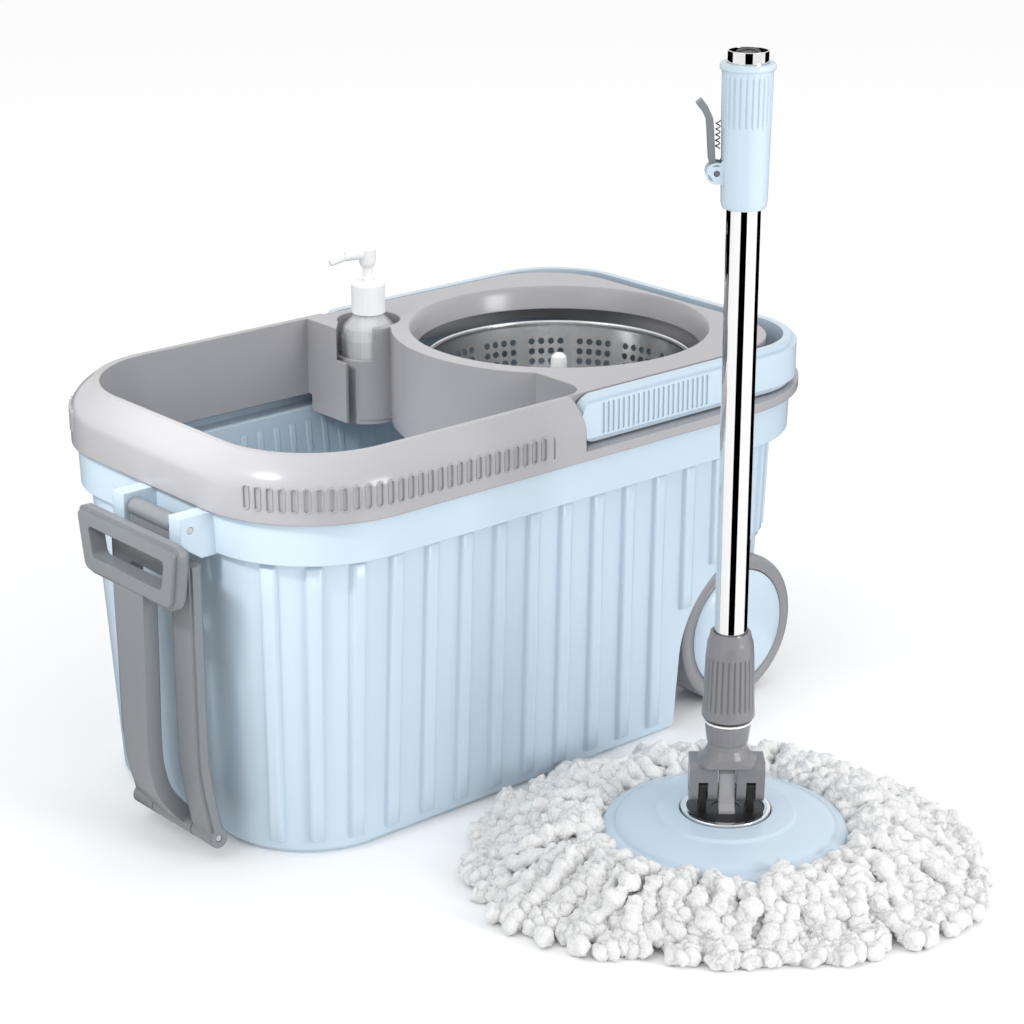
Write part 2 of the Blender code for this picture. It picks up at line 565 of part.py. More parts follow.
def mop_head():
    turned("mop_strands", [
        (0.0790, 0.0300), (0.0900, 0.0365), (0.1150, 0.0375), (0.1400, 0.0300), (0.1560, 0.0180),
        (STRAND_R + 0.0030, 0.0070), (STRAND_R, 0.0), (0.0350, 0.0), (0.0350, 0.0160),
        (0.0790, 0.0160)], YARN, steps=32)
    ring_low, ring_top = STRAND_RING
    ring = turned("strand_ring", [(0.0680, ring_top), (0.0680, ring_low), (0.0120, ring_low),
                                  (0.0120, ring_top)], GREY, steps=24)
    turned("mop_disc", [
        (0.0288, 0.0440), (0.0450, 0.0425), (0.0640, 0.0380), (0.0755, 0.0335),
        (DISC_R, 0.0305), (DISC_R, 0.0262), (0.0762, 0.0222), (0.0742, 0.0222),
        (0.0751, 0.0300), (0.0630, 0.0352), (0.0445, 0.0398), (0.0288, 0.0412)], BLUE, steps=36)
    base = turned("pivot_base", [
        (0.0, 0.0440), (0.0232, 0.0440), (0.0232, 0.0386), (0.0400, 0.0383), (0.0400, 0.0350),
        (0.0280, 0.0345), (0.0280, ring_top + 0.0006), (0.0, ring_top + 0.0006)], BLACK, steps=24)
    turned("pivot_trim", [(0.0274, 0.0455), (0.0282, 0.0448), (0.0282, 0.0390), (0.0236, 0.0390),
                          (0.0236, 0.0455)], CHROME, steps=28)
    for side, sign in (("left", -1), ("right", 1)):
        reach = sorted((sign * EAR_X[0], sign * EAR_X[1]))
        ear = (arc((0.0, TILT_Z), 0.0062, 0, 180, 10)
               + [(-0.0062, 0.0435), (0.0062, 0.0435)])
        join(base, slab("ear_" + side, ear, *reach, plane="YZ"))
    pin_hole = rod("base_pin_hole", (-0.03, 0.0, TILT_Z), (0.03, 0.0, TILT_Z), PIN_R + 0.0003,
                   segments=20)
    cut(base, pin_hole)
    rod("tilt_pin", (-0.0230, 0.0, TILT_Z), (0.0230, 0.0, TILT_Z), PIN_R, STEEL, segments=20)
    tongue = [(-0.0066, 0.0490), (-0.0105, 0.0470), (-0.0105, 0.0444), (-0.0028, 0.0444),
              (-0.0028, 0.0718), (-0.0040, 0.0728), (-0.0066, 0.0700)]
    slab("lock_tongue", tongue, -0.0050, 0.0050, GREY, plane="YZ")
    for number in range(3):
        angle = radians(90 + 120 * number)
        x, y = 0.0200 * cos(angle), 0.0200 * sin(angle)
        hole = rod(f"screw_hole_{number}", (x, y, 0.0100), (x, y, 0.0320), 0.0022, segments=16)
        cut(ring, hole)
        cut(base, hole)
        shank = rod(f"screw_shank_{number}", (x, y, 0.0150), (x, y, 0.0312), 0.0019, segments=12)
        screw = rod(f"base_screw_{number + 1}", (x, y, 0.0138), (x, y, 0.0161), 0.0038, STEEL,
                    segments=16, bevel=0.0005)
        join(screw, shank)


def yoke():
    half, lobe = 0.0233, 0.0088
    outline = (arc((0.0, TILT_Z), lobe, 180, 360, 14)
               + [(0.0098, 0.0740), (0.0085, 0.0788), (-0.0085, 0.0788), (-0.0098, 0.0740)])
    body = slab("yoke", outline, -half, half, GREY, plane="YZ")
    neck = turned("yoke_neck", [
        (0.0, 0.1040), (0.0141, 0.1040), (0.0143, 0.1020), (0.0130, 0.0915), (0.0123, 0.0900),
        (0.0125, 0.0870), (0.0150, 0.0820), (0.0195, 0.0780), (0.0195, 0.0766), (0.0, 0.0766)],
        steps=24)
    flare = box("flare_depth", (-0.05, 0.05), (-0.0145, 0.0145), (0.05, 0.20))
    spigot = rod("yoke_spigot", (0.0, 0.0, 0.0950), (0.0, 0.0, SWIVEL_TOP - 0.0008), 0.0080)
    join(body, keep(neck, flare), spigot)
    middle = box("tongue_slot", (-0.00585, 0.00585), (-0.05, 0.05), (0.04, 0.0754))
    cut(body, middle)
    for side, sign in (("left", -1), ("right", 1)):
        reach = sorted((sign * (EAR_X[0] - 0.0006), sign * (EAR_X[1] + 0.0006)))
        room = slab("ear_room_" + side, arc((0.0, TILT_Z), 0.0068, 0, 90, 8)
                    + [(-0.03, TILT_Z + 0.0068), (-0.03, 0.03), (0.0068, 0.03)],
                    *reach, plane="YZ")
        cut(body, room)
    cut(body, rod("yoke_pin_hole", (-0.03, 0.0, TILT_Z), (0.03, 0.0, TILT_Z), PIN_R + 0.0003,
                  segments=20))


def ferrule():
    turned("swivel_washer", [(0.0152, 0.1056), (0.0152, 0.1044), (0.0083, 0.1044),
                             (0.0083, 0.1056)], WHITE, steps=20)
    turned("swivel_seal", [(0.0147, 0.1073), (0.0147, 0.1060), (0.0083, 0.1060),
                           (0.0083, 0.1073)], BLACK, steps=20)
    turned("ferrule_nut", [
        (0.0108, 0.1640), (0.0124, 0.1636), (0.0133, 0.1590), (0.0141, 0.1570), (0.0150, 0.1480),
        (0.0161, 0.1120), (0.0165, 0.1090), (0.0162, 0.1077), (0.0084, 0.1077),
        (0.0084, SWIVEL_TOP + 0.0004), (0.0060, SWIVEL_TOP + 0.0012), (0.0060, 0.1335),
        (0.0104, 0.1335), (0.0104, 0.1640)], GREY, steps=24)
    turned("lower_tube", [(LOWER_R, 0.5050), (LOWER_R, 0.1339), (LOWER_R - TUBE_WALL, 0.1339),
                          (LOWER_R - TUBE_WALL, 0.5050)], CHROME, steps=28)
    turned("tube_plug", [(0.0, 0.5068), (0.0084, 0.5068), (0.0084, 0.4940), (0.0, 0.4940)],
           WHITE, steps=24)


def upper_pole():
    low, top = SLEEVE
    inner = UPPER_R - TUBE_WALL
    turned("upper_tube", [(UPPER_R, 0.5190), (UPPER_R, 0.4405), (inner, 0.4405),
                          (inner, 0.5190)], CHROME, steps=28)
    sleeve = turned("lock_sleeve", [
        (0.0155, top), (0.0161, top - 0.0008), (0.0161, top - 0.0034), (0.0148, top - 0.0042),
        (0.0143, 0.4750), (0.0136, low + 0.0035), (0.0130, low + 0.0012), (0.0124, low),
        (0.0103, low), (0.0103, 0.4398), (UPPER_R + 0.0003, 0.4398), (UPPER_R + 0.0003, top)],
        BLUE, steps=28)
    x, z = LEVER
    for side, sign in (("front", -1), ("rear", 1)):
        reach = sorted((sign * 0.0042, sign * 0.0062))
        cheek = arc((x, z), 0.0062, 70, 290, 14) + [(-0.0125, z - 0.0075), (-0.0125, z + 0.0085)]
        join(sleeve, slab("cheek_" + side, cheek, *reach, plane="XZ"))
    window = box("sleeve_window", (-0.03, -0.01225), (-0.0041, 0.0041), (0.4425, 0.4560))
    lever_hole = rod("lever_hole", (x, -0.01, z), (x, 0.01, z), 0.0018, segments=16)
    cut(sleeve, window, lever_hole)
    rod("lever_pin", (x, -0.0061, z), (x, 0.0061, z), 0.0015, STEEL, segments=16)
    line = [(x - 0.0006, z), (x - 0.0028, z + 0.0080), (x - 0.0040, z + 0.0250),
            (x - 0.0046, z + 0.0310), (x - 0.0074, z + 0.0368), (x - 0.0110, z + 0.0412)]
    lever = slab("lock_lever", band_along(line, 0.0040), -0.0038, 0.0038, DARK_GREY, plane="XZ")
    join(lever, rod("lever_eye", (x, -0.0038, z), (x, 0.0038, z), 0.0040, segments=20))
    cut(lever, rod("lever_bore", (x, -0.01, z), (x, 0.01, z), 0.0018, segments=16))
    coil("lever_spring", BLACK, (-0.01615, 0.0), 0.0013, 0.00035, (z + 0.0130, z + 0.0300), 5, 6)


def mop_frame():
    """The mop's own frame: X along the tilt pin, Z up the pole."""
    made = bpy.data.objects.new("mop_frame", None)
    made.location = (MOP[0], MOP[1], 0.0)
    made.rotation_euler = (0.0, 0.0, MOP_TURN)
    parts.objects.link(made)
    return made


bucket_shell()
rim_frame()
basket_parts()
carry_handle()
wheels()
before = set(bpy.data.objects)
pull_handle()
for piece in set(bpy.data.objects) - before:
    piece.location.y = PULL_Y
soap_pump()

before = set(bpy.data.objects)
mop_head()
yoke()
ferrule()
upper_pole()
mop_pieces = [made for made in bpy.data.objects if made not in before]
stand = mop_frame()
for piece in mop_pieces:
    piece.parent = stand
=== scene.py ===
"""Looks of the spin mop set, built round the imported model: detail, materials, light, camera."""

import json
import random
from math import atan2, cos, pi, radians, sin, sqrt

import bmesh
import bpy
from mathutils import Matrix, Vector, noise

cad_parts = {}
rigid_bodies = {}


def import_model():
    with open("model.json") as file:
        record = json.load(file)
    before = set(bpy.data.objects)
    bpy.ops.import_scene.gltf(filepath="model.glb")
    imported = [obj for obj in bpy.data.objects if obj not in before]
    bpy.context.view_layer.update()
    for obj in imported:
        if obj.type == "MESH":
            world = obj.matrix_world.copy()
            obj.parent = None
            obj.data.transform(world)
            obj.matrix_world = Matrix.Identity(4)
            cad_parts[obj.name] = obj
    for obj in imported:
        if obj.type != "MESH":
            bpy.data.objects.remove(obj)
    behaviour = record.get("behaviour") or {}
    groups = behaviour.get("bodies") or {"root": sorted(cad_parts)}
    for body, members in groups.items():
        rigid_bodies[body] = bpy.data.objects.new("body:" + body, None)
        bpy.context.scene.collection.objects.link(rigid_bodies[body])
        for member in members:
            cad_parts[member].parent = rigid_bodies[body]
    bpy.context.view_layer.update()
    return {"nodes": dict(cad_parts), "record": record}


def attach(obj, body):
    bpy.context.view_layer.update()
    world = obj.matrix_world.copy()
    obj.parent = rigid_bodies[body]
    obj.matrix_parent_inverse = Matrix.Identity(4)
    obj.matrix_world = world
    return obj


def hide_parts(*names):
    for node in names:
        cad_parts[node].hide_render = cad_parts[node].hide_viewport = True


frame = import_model()
random.seed(7)

RIM_TOP = 0.2736                 # the deck and the top of the rim
LIP_LOW = 0.2340                 # lower edge of the grey rim
LIP_TOP = 0.2405                 # ledge that the carry handle lies on
RIM_X = (-0.302, 0.199)          # ends of the grey rim
RIM_HALF = 0.149                 # half its width
RIM_R = (0.085, 0.106)           # its corner radii, left end and right end
RIM = (RIM_X, RIM_HALF, RIM_R)
WALL = 0.0022                    # plastic wall
SIDES = (("front", -1), ("rear", 1))

OPEN_X = (-0.283, -0.044)        # the water opening
OPEN_HALF = 0.129
OPEN_R = (0.068, 0.018)
SKIRT_LOW = 0.218                # lower edge of the skirt round the opening

BASKET = (0.0462, 0.0)           # centre of the wringing basket
WELL_R = 0.105
BASKET_R = 0.0970
BASKET_TOP = 0.2505
BASKET_FLOOR = 0.138
PARTITION_R = 0.119

HOLDER = (-0.0465, 0.0995)       # centre of the soap holder
HOLDER_R = 0.0225
HOLDER_LOW = 0.203
NOTCH = ((-0.0730, 0.0629), (-0.0922, 0.0796), (-0.0627, 0.1136), (-0.0435, 0.0969))
NOTCH_LOW = 0.2500               # the holder's open side faces the water opening

WHEEL = (0.123, 0.055)           # wheel axis, x and z
WHEEL_R = 0.055
ARCH_R = 0.0715
WHEEL_FACES = (0.072, 0.110)     # inner and outer face of a wheel

BAIL = (-0.046, 0.2575)          # carry handle pivot, x and z
BAIL_OUT = 0.1425                # half the width over the handle
BAIL_THICK = 0.0095
BAIL_END = 0.1760
DECK_HALF = 0.1308               # the deck between the handle's arms
DECK_END = 0.1560

PULL_TOP = (-0.3155, 0.2245)     # upper hinge of the pull handle, x and z
PULL_LOW = (-0.3085, 0.0165)     # lower hinge
LEG_Y = (0.0225, 0.0445)         # inner and outer side of a leg
PULL_PIN_R = 0.0020
PULL_Y = -0.0300                 # the pull handle sits off the middle, towards the mop

MOP = (-0.0742, -0.2924)         # where the mop stands
MOP_TURN = radians(-40.93)       # the tilt pin's direction from +X
DISC_R = 0.0775
LOWER_R = 0.0100                 # lower tube
UPPER_R = 0.0118                 # upper tube
SLEEVE = (0.428, 0.512)          # lock sleeve, bottom and top
LEVER = (-0.0166, 0.449)         # lever pin, sideways and height


# ---- materials ----------------------------------------------------------------------------------
def material(name, colour, roughness, metallic=0.0, edge=0.0, grain=0.0, scale=1800.0,
             depth=0.0002, **sockets):
    """A Principled material. edge is the radius that its corners are softened to.

    grain is the strength of a fine bump texture, and scale and depth are its fineness and height.
    """
    made = bpy.data.materials.new(name)
    made.use_nodes = True
    tree = made.node_tree
    shader = tree.nodes["Principled BSDF"]
    shader.inputs["Base Color"].default_value = (*colour, 1.0)
    shader.inputs["Roughness"].default_value = roughness
    shader.inputs["Metallic"].default_value = metallic
    for socket, value in sockets.items():
        shader.inputs[socket.replace("_", " ")].default_value = value
    normal = None
    if edge:
        soft = tree.nodes.new("ShaderNodeBevel")
        soft.samples = 6
        soft.inputs["Radius"].default_value = edge
        normal = soft.outputs["Normal"]
    if grain:
        speckle = tree.nodes.new("ShaderNodeTexNoise")
        speckle.inputs["Scale"].default_value = scale
        speckle.inputs["Detail"].default_value = 2.0
        place = tree.nodes.new("ShaderNodeTexCoord")
        tree.links.new(place.outputs["Object"], speckle.inputs["Vector"])
        bump = tree.nodes.new("ShaderNodeBump")
        bump.inputs["Strength"].default_value = grain
        bump.inputs["Distance"].default_value = depth
        tree.links.new(speckle.outputs["Fac"], bump.inputs["Height"])
        if normal is not None:
            tree.links.new(normal, bump.inputs["Normal"])
        normal = bump.outputs["Normal"]
    if normal is not None:
        tree.links.new(normal, shader.inputs["Normal"])
    return made


BLUE = material("blue_plastic", (0.52, 0.63, 0.72), 0.26, edge=0.0010)
GREY = material("grey_plastic", (0.37, 0.365, 0.385), 0.22, edge=0.0012)
YOKE_GREY = material("yoke_grey", (0.205, 0.203, 0.22), 0.28, edge=0.0010)
DARK_GREY = material("dark_grey_plastic", (0.20, 0.215, 0.23), 0.36, edge=0.0012, grain=0.10)
WHEEL_GREY = material("wheel_grey", (0.25, 0.25, 0.265), 0.40, edge=0.0008)
BLACK = material("black_plastic", (0.012, 0.012, 0.013), 0.35, edge=0.0006)
RUBBER = material("black_rubber", (0.012, 0.012, 0.012), 0.55)
WHITE = material("white_plastic", (0.90, 0.90, 0.90), 0.24, edge=0.0005)
FROSTED = material("frosted_plastic", (0.90, 0.91, 0.92), 0.30, Alpha=0.75)
CLEAR = material("clear_plastic", (0.93, 0.95, 0.96), 0.06, Alpha=0.32)
STEEL = material("steel", (0.56, 0.56, 0.57), 0.30, 1.0)
BLACK_STEEL = material("black_steel", (0.02, 0.02, 0.02), 0.35, 0.6)
STAINLESS = material("stainless", (0.68, 0.685, 0.69), 0.20, 1.0)
CHROME = material("chrome", (0.80, 0.80, 0.80), 0.03, 1.0)
YARN = material("white_yarn", (0.79, 0.79, 0.787), 1.0, grain=0.9, scale=520.0, depth=0.0016,
                Sheen_Weight=0.3, Subsurface_Weight=0.3,
                Subsurface_Radius=(1.0, 1.0, 1.0), Subsurface_Scale=0.004)
LOOKS = {
    "blue_plastic": BLUE, "grey_plastic": GREY, "yoke_grey": YOKE_GREY,
    "dark_grey_plastic": DARK_GREY, "wheel_grey": WHEEL_GREY, "black_plastic": BLACK,
    "black_rubber": RUBBER, "white_plastic": WHITE, "frosted_plastic": FROSTED,
    "clear_plastic": CLEAR, "steel": STEEL, "black_steel": BLACK_STEEL, "stainless": STAINLESS,
    "chrome": CHROME, "white_yarn": YARN}
for sub in frame["record"]["subparts"]:
    mesh = frame["nodes"][sub["node"]].data
    mesh.materials.clear()
    mesh.materials.append(LOOKS[sub["material_slot"]])


# ---- scene helpers ------------------------------------------------------------------------------
scene = bpy.context.scene
cutters = []


def new_object(name, mesh, look=None):
    """A shown piece when it has a material, else a helper for cutting and joining."""
    made = bpy.data.objects.new(name, mesh)
    scene.collection.objects.link(made)
    if look is None:
        cutters.append(made)
    else:
        mesh.materials.append(look)
    return made


def finish_mesh(bm, name, look=None):
    """Turns the bmesh into a piece, or into a helper when it has no material."""
    bmesh.ops.recalc_face_normals(bm, faces=bm.faces)
    mesh = bpy.data.meshes.new(name)
    bm.to_mesh(mesh)
    bm.free()
    return new_object(name, mesh, look)


def baked(made, angle=32):
    """Applies the modifiers, so that the piece is one plain mesh with soft shading."""
    look = made.data.materials[0]
    graph = bpy.context.evaluated_depsgraph_get()
    mesh = bpy.data.meshes.new_from_object(made.evaluated_get(graph), depsgraph=graph)
    mesh.transform(made.matrix_world)
    made.modifiers.clear()
    made.data = mesh
    made.matrix_world = Matrix.Identity(4)
    mesh.materials.clear()
    mesh.materials.append(look)
    mesh.shade_smooth()
    mesh.set_sharp_from_angle(angle=radians(angle))
    even = made.modifiers.new("even", "WEIGHTED_NORMAL")
    even.keep_sharp = True
    return made


def show(made, body, slot, *nodes):
    """Puts a piece on its CAD body, in place of the nodes. The slot is not used."""
    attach(made, body)
    if nodes:
        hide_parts(*nodes)
    return made


def from_grid(name, rows, look, closed=True):
    """A mesh from rows of points of equal length; closed joins each row's ends."""
    width = len(rows[0])
    faces = []
    for i in range(len(rows) - 1):
        for j in range(width if closed else width - 1):
            k = (j + 1) % width
            faces.append((i * width + j, i * width + k, (i + 1) * width + k, (i + 1) * width + j))
    mesh = bpy.data.meshes.new(name)
    mesh.from_pydata([p for row in rows for p in row], [], faces)
    mesh.shade_smooth()
    return new_object(name, mesh, look)


def box(name, x, y, z):
    """A helper box between the pairs x, y and z."""
    bm = bmesh.new()
    bmesh.ops.create_cube(bm, size=1.0)
    for vertex in bm.verts:
        for axis, (low, high) in enumerate((x, y, z)):
            vertex.co[axis] = low if vertex.co[axis] < 0 else high
    return finish_mesh(bm, name)


def rod(name, start, end, radius, end_radius=None, segments=96):
    """A helper rod or cone from start to end."""
    start, end = Vector(start), Vector(end)
    bm = bmesh.new()
    bmesh.ops.create_cone(
        bm, cap_ends=True, segments=segments, radius1=radius,
        radius2=radius if end_radius is None else end_radius, depth=(end - start).length)
    turn = Vector((0, 0, 1)).rotation_difference(end - start).to_matrix().to_4x4()
    bmesh.ops.transform(bm, matrix=Matrix.Translation((start + end) / 2) @ turn, verts=bm.verts)
    return finish_mesh(bm, name)


def cross_rod(name, at, low, high, radius, segments=96):
    """A helper rod along Y through the point at, given in x and z."""
    return rod(name, (at[0], low, at[1]), (at[0], high, at[1]), radius, segments=segments)


def slab(name, outline, low, high, look=None, plane="XY", bevel=0.0):
    """A flat outline extruded from low to high, square to its plane."""
    place = {"XY": lambda a, b, c: (a, b, c), "XZ": lambda a, b, c: (a, c, b),
             "YZ": lambda a, b, c: (c, a, b)}[plane]
    bm = bmesh.new()
    face = bm.faces.new([bm.verts.new(place(a, b, low)) for a, b in outline])
    grown = bmesh.ops.extrude_face_region(bm, geom=[face])
    step = Vector(place(0.0, 0.0, high)) - Vector(place(0.0, 0.0, low))
    for item in grown["geom"]:
        if isinstance(item, bmesh.types.BMVert):
            item.co += step
    if bevel:
        normal = step.normalized()
        rims = [e for e in bm.edges
                if abs((e.verts[0].co - e.verts[1].co).dot(normal)) < 1e-6]
        bmesh.ops.recalc_face_normals(bm, faces=bm.faces)
        bmesh.ops.bevel(bm, geom=rims, offset=bevel, segments=4, affect="EDGES")
    return finish_mesh(bm, name, look)


def loft(name, rings, look=None):
    """A closed body through outlines of equal length, each with its height, bottom to top."""
    bm = bmesh.new()
    loops = [[bm.verts.new((x, y, z)) for x, y in outline] for outline, z in rings]
    for below, above in zip(loops, loops[1:]):
        for i, corner in enumerate(below):
            j = (i + 1) % len(below)
            bm.faces.new((corner, below[j], above[j], above[i]))
    bm.faces.new(loops[0][::-1])
    bm.faces.new(loops[-1])
    return finish_mesh(bm, name, look)


def turned(name, profile, look=None, centre=(0.0, 0.0), axis="Z", steps=128):
    """A turned body. The profile holds (radius, height) pairs, down its outer side.

    A profile that starts and ends on the axis is left open there; any other one is a closed loop.
    """
    mesh = bpy.data.meshes.new(name)
    on_axis = profile[0][0] == 0.0 and profile[-1][0] == 0.0
    edges = [(i, i + 1) for i in range(len(profile) - 1)]
    if not on_axis:
        edges.append((len(profile) - 1, 0))
    mesh.from_pydata([(r, 0.0, h) for r, h in profile], edges, [])
    made = new_object(name, mesh, look)
    screw = made.modifiers.new("turn", "SCREW")
    screw.steps = steps
    screw.render_steps = steps
    screw.use_merge_vertices = True
    screw.merge_threshold = 0.00002
    screw.use_smooth_shade = True
    if axis == "Z":
        made.location = (centre[0], centre[1], 0.0)
    else:
        made.rotation_euler = (radians(-90 if axis == "+Y" else 90), 0.0, 0.0)
        made.location = (centre[0], 0.0, centre[1])
    return made


def boolean(target, tools, operation):
    """Adds one boolean step for each tool."""
    for tool in tools:
        step = target.modifiers.new(operation.lower() + "_" + tool.name, "BOOLEAN")
        step.operation = operation
        step.solver = "EXACT"
        step.object = tool
    return target


def cut(target, *tools):
    return boolean(target, tools, "DIFFERENCE")


def join(target, *tools):
    return boolean(target, tools, "UNION")


def keep(target, *tools):
    return boolean(target, tools, "INTERSECT")


def arc(centre, radius, start, end, steps):
    """Points on an arc, angles in degrees."""
    angles = [radians(start + (end - start) * i / steps) for i in range(steps + 1)]
    return [(centre[0] + radius * cos(a), centre[1] + radius * sin(a)) for a in angles]


def rounded(x, half, radii, steps=28):
    """A rectangle's outline, x[0] to x[1] and -half to half, with radii left and right."""
    (left, right), (r_left, r_right) = x, radii
    return (arc((left + r_left, -half + r_left), r_left, 180, 270, steps)
            + arc((right - r_right, -half + r_right), r_right, 270, 360, steps)
            + arc((right - r_right, half - r_right), r_right, 0, 90, steps)
            + arc((left + r_left, half - r_left), r_left, 90, 180, steps))


def grown(x, half, radii, by):
    """The same outline, larger all round by the distance given."""
    return rounded((x[0] - by, x[1] + by), half + by, (radii[0] + by, radii[1] + by))


# ---- bucket -------------------------------------------------------------------------------------
WALL_LOW = ((-0.285, 0.165), 0.1185, (0.066, 0.066))     # the wall's outline at its foot
WALL_HIGH = ((-0.2935, 0.1745), 0.1320, (0.072, 0.088))  # and under its top band
WALL_BAND = ((-0.2975, 0.1900), 0.1430, (0.079, 0.097))  # the top band's outline
WALL_Z = (0.004, 0.205)          # heights of the first two outlines
LUG_Y = (0.0250, 0.0375)         # inner and outer side of a lug for the pull handle
ARCH_FOOT = 0.050                # where the wheel arch meets the floor
ARCH_WALL = 0.0024
BRACKET_Y = (0.062, 0.066)
TOWER_TOP = 0.1285
SPINDLE_R = 0.004
AXLE_R = 0.004


def wheel_arch(name, grow, reach):
    """The tunnel over the wheels: a round vault that runs down to the floor."""
    radius = ARCH_R + grow
    vault = arc(WHEEL, radius, 0, 180, 72)
    outline = vault + [(ARCH_FOOT - grow, -0.01), (WHEEL[0] + radius, -0.01)]
    return slab(name, outline, -reach, reach, plane="XZ")


def bucket_shell():
    """The tank: tapered wall, top band, lugs, wheel arch, spindle tower and the holes in them."""
    outer = [(grown(*WALL_LOW, -0.004), 0.0), (rounded(*WALL_LOW), WALL_Z[0]),
             (rounded(*WALL_HIGH), WALL_Z[1]), (rounded(*WALL_BAND), 0.2060),
             (grown(*WALL_BAND, 0.001), 0.2375)]
    inner = [(grown(*WALL_LOW, -WALL - 0.002), 0.0025), (grown(*WALL_LOW, -WALL), 0.006),
             (grown(*WALL_HIGH, -WALL), 0.2072), (grown(*WALL_BAND, -WALL), 0.2090),
             (grown(*WALL_BAND, -WALL + 0.001), 0.2395)]
    shell = loft("bucket_body", outer, BLUE)
    for side, sign in SIDES:
        lug_y = sorted((sign * LUG_Y[0], sign * LUG_Y[1]))
        outline = [(-0.290, 0.2050), (-0.3080, 0.2050), (-0.3225, 0.2150), (-0.3225, 0.2332),
                   (-0.290, 0.2332)]
        lug = slab("lug_" + side, outline, *lug_y, plane="XZ")
        lug.location.y = PULL_Y
        join(shell, lug)

    tunnel = wheel_arch("tunnel", 0.0, 0.20)
    for side, sign in SIDES:
        bracket_y = sorted((sign * BRACKET_Y[0], sign * BRACKET_Y[1]))
        bracket = box("bracket_" + side, (WHEEL[0] - 0.012, WHEEL[0] + 0.012), bracket_y,
                      (0.042, 0.135))
        cut(tunnel, bracket)
    tower = rod("tower", (*BASKET, -0.01), (*BASKET, TOWER_TOP), 0.017, end_radius=0.011)
    hollow = cut(loft("bucket_hollow", inner), wheel_arch("vault", ARCH_WALL, 0.21), tower)
    spindle_hole = rod("spindle_hole", (*BASKET, 0.099), (*BASKET, 0.14), SPINDLE_R + 0.0003)
    axle_hole = cross_rod("axle_hole", WHEEL, -0.07, 0.07, AXLE_R + 0.0003)
    hinge_hole = cross_rod("hinge_hole", PULL_TOP, -0.04, 0.04, PULL_PIN_R + 0.0003, 16)
    hinge_hole.location.y = PULL_Y
    return cut(shell, tunnel, hollow, spindle_hole, axle_hole, hinge_hole)


def opening(name, grow, low, high):
    """The water opening's plan: a rounded rectangle less the basket side and the soap holder."""
    made = slab(name, grown(OPEN_X, OPEN_HALF, OPEN_R, grow), low, high)
    beyond = (low - 0.01, high + 0.01)
    basket_side = rod(name + "_basket_side", (*BASKET, beyond[0]), (*BASKET, beyond[1]),
                      PARTITION_R - grow, segments=140)
    holder_side = rod(name + "_holder_side", (*HOLDER, beyond[0]), (*HOLDER, beyond[1]),
                      HOLDER_R + 0.0035 - grow)
    corner = box(name + "_corner", (-0.0790 + grow, 0.0), (0.085, 0.2), beyond)
    return cut(made, basket_side, corner, holder_side)


def rim_frame():
    """The grey top: rim, deck, skirt round the opening, basket well and soap holder."""
    deck = ((-0.20, DECK_END), DECK_HALF, (0.02, 0.060))
    shoulder = [(0.0, LIP_LOW), (0.0, 0.2530), (-0.0003, 0.2560), (-0.0012, 0.2585),
                (-0.0022, 0.2609), (-0.0035, 0.2630), (-0.0052, 0.2652), (-0.0075, 0.2676),
                (-0.0102, 0.2699), (-0.0126, 0.2718), (-0.0142, 0.2730), (-0.0150, RIM_TOP)]
    rim = loft("rim_body", [(grown(*RIM, by), z) for by, z in shoulder], GREY)

    above = (LIP_TOP, RIM_TOP + 0.02)
    start = BAIL[0] - 0.0175
    recess = box("handle_recess", (start, 0.25), (-0.2, 0.2), above)
    cut(recess, slab("deck_block", rounded(*deck), LIP_TOP - 0.01, RIM_TOP + 0.03))
    cut(rim, recess)

    hollow_low = slab("rim_hollow_low", grown(*RIM, -WALL - 0.0003),
                      0.20, 0.2383)
    band = loft("rim_hollow_band", [(grown(*RIM, -WALL), 0.195)]
                + [(grown(*RIM, by - WALL), z - WALL * 0.5)
                   for by, z in shoulder[1:-1]]
                + [(grown(*RIM, shoulder[-1][0] - WALL), RIM_TOP - WALL)])
    keep(band, box("band_end", (-0.4, start - WALL), (-0.2, 0.2), (0.18, 0.3)))
    under_deck = slab("rim_hollow_deck", grown(*deck, -WALL), 0.2305, RIM_TOP - WALL - 0.0001)
    cut(rim, band, hollow_low, under_deck)

    skirt = opening("skirt", WALL, SKIRT_LOW, RIM_TOP - 0.001)
    deep = opening("partition", WALL + 0.0002, 0.206, RIM_TOP - 0.0012)
    keep(deep, box("partition_side", (-0.096, 0.05), (-0.1255, 0.1255), (0.1, 0.4)))
    holder = rod("holder_outer", (*HOLDER, HOLDER_LOW), (*HOLDER, RIM_TOP - 0.0011),
                 HOLDER_R + 0.0032, segments=90)
    well = turned("well_outer", [(0.0, RIM_TOP - 0.0009), (WELL_R + 0.0030, RIM_TOP - 0.0009),
                                 (0.1038, 0.2640), (0.1032, 0.2575), (0.0, 0.2575)],
                  centre=BASKET, steps=144)
    join(rim, skirt, deep, holder, well)

    well_hole = turned("well_hole", [
        (0.0, 0.30), (WELL_R + 0.0012, 0.30), (WELL_R + 0.0012, RIM_TOP), (WELL_R - 0.0002, 0.2719),
        (0.1036, 0.2680), (0.1020, 0.2625), (0.1010, 0.2570), (0.1002, 0.2400), (0.0, 0.2400)],
        centre=BASKET, steps=150)
    holder_hole = rod("holder_hole", (*HOLDER, HOLDER_LOW + 0.003), (*HOLDER, 0.30), HOLDER_R,
                      segments=84)
    window = slab("holder_window", NOTCH, NOTCH_LOW, 0.30)
    water = opening("opening_hole", 0.0, 0.19, 0.30)
    cut(rim, water, well_hole, holder_hole, window)
    for side, sign in SIDES:
        cut(rim, cross_rod("bail_pin_hole_" + side, BAIL, sign * 0.1262, sign * 0.2, 0.0043))
    return rim


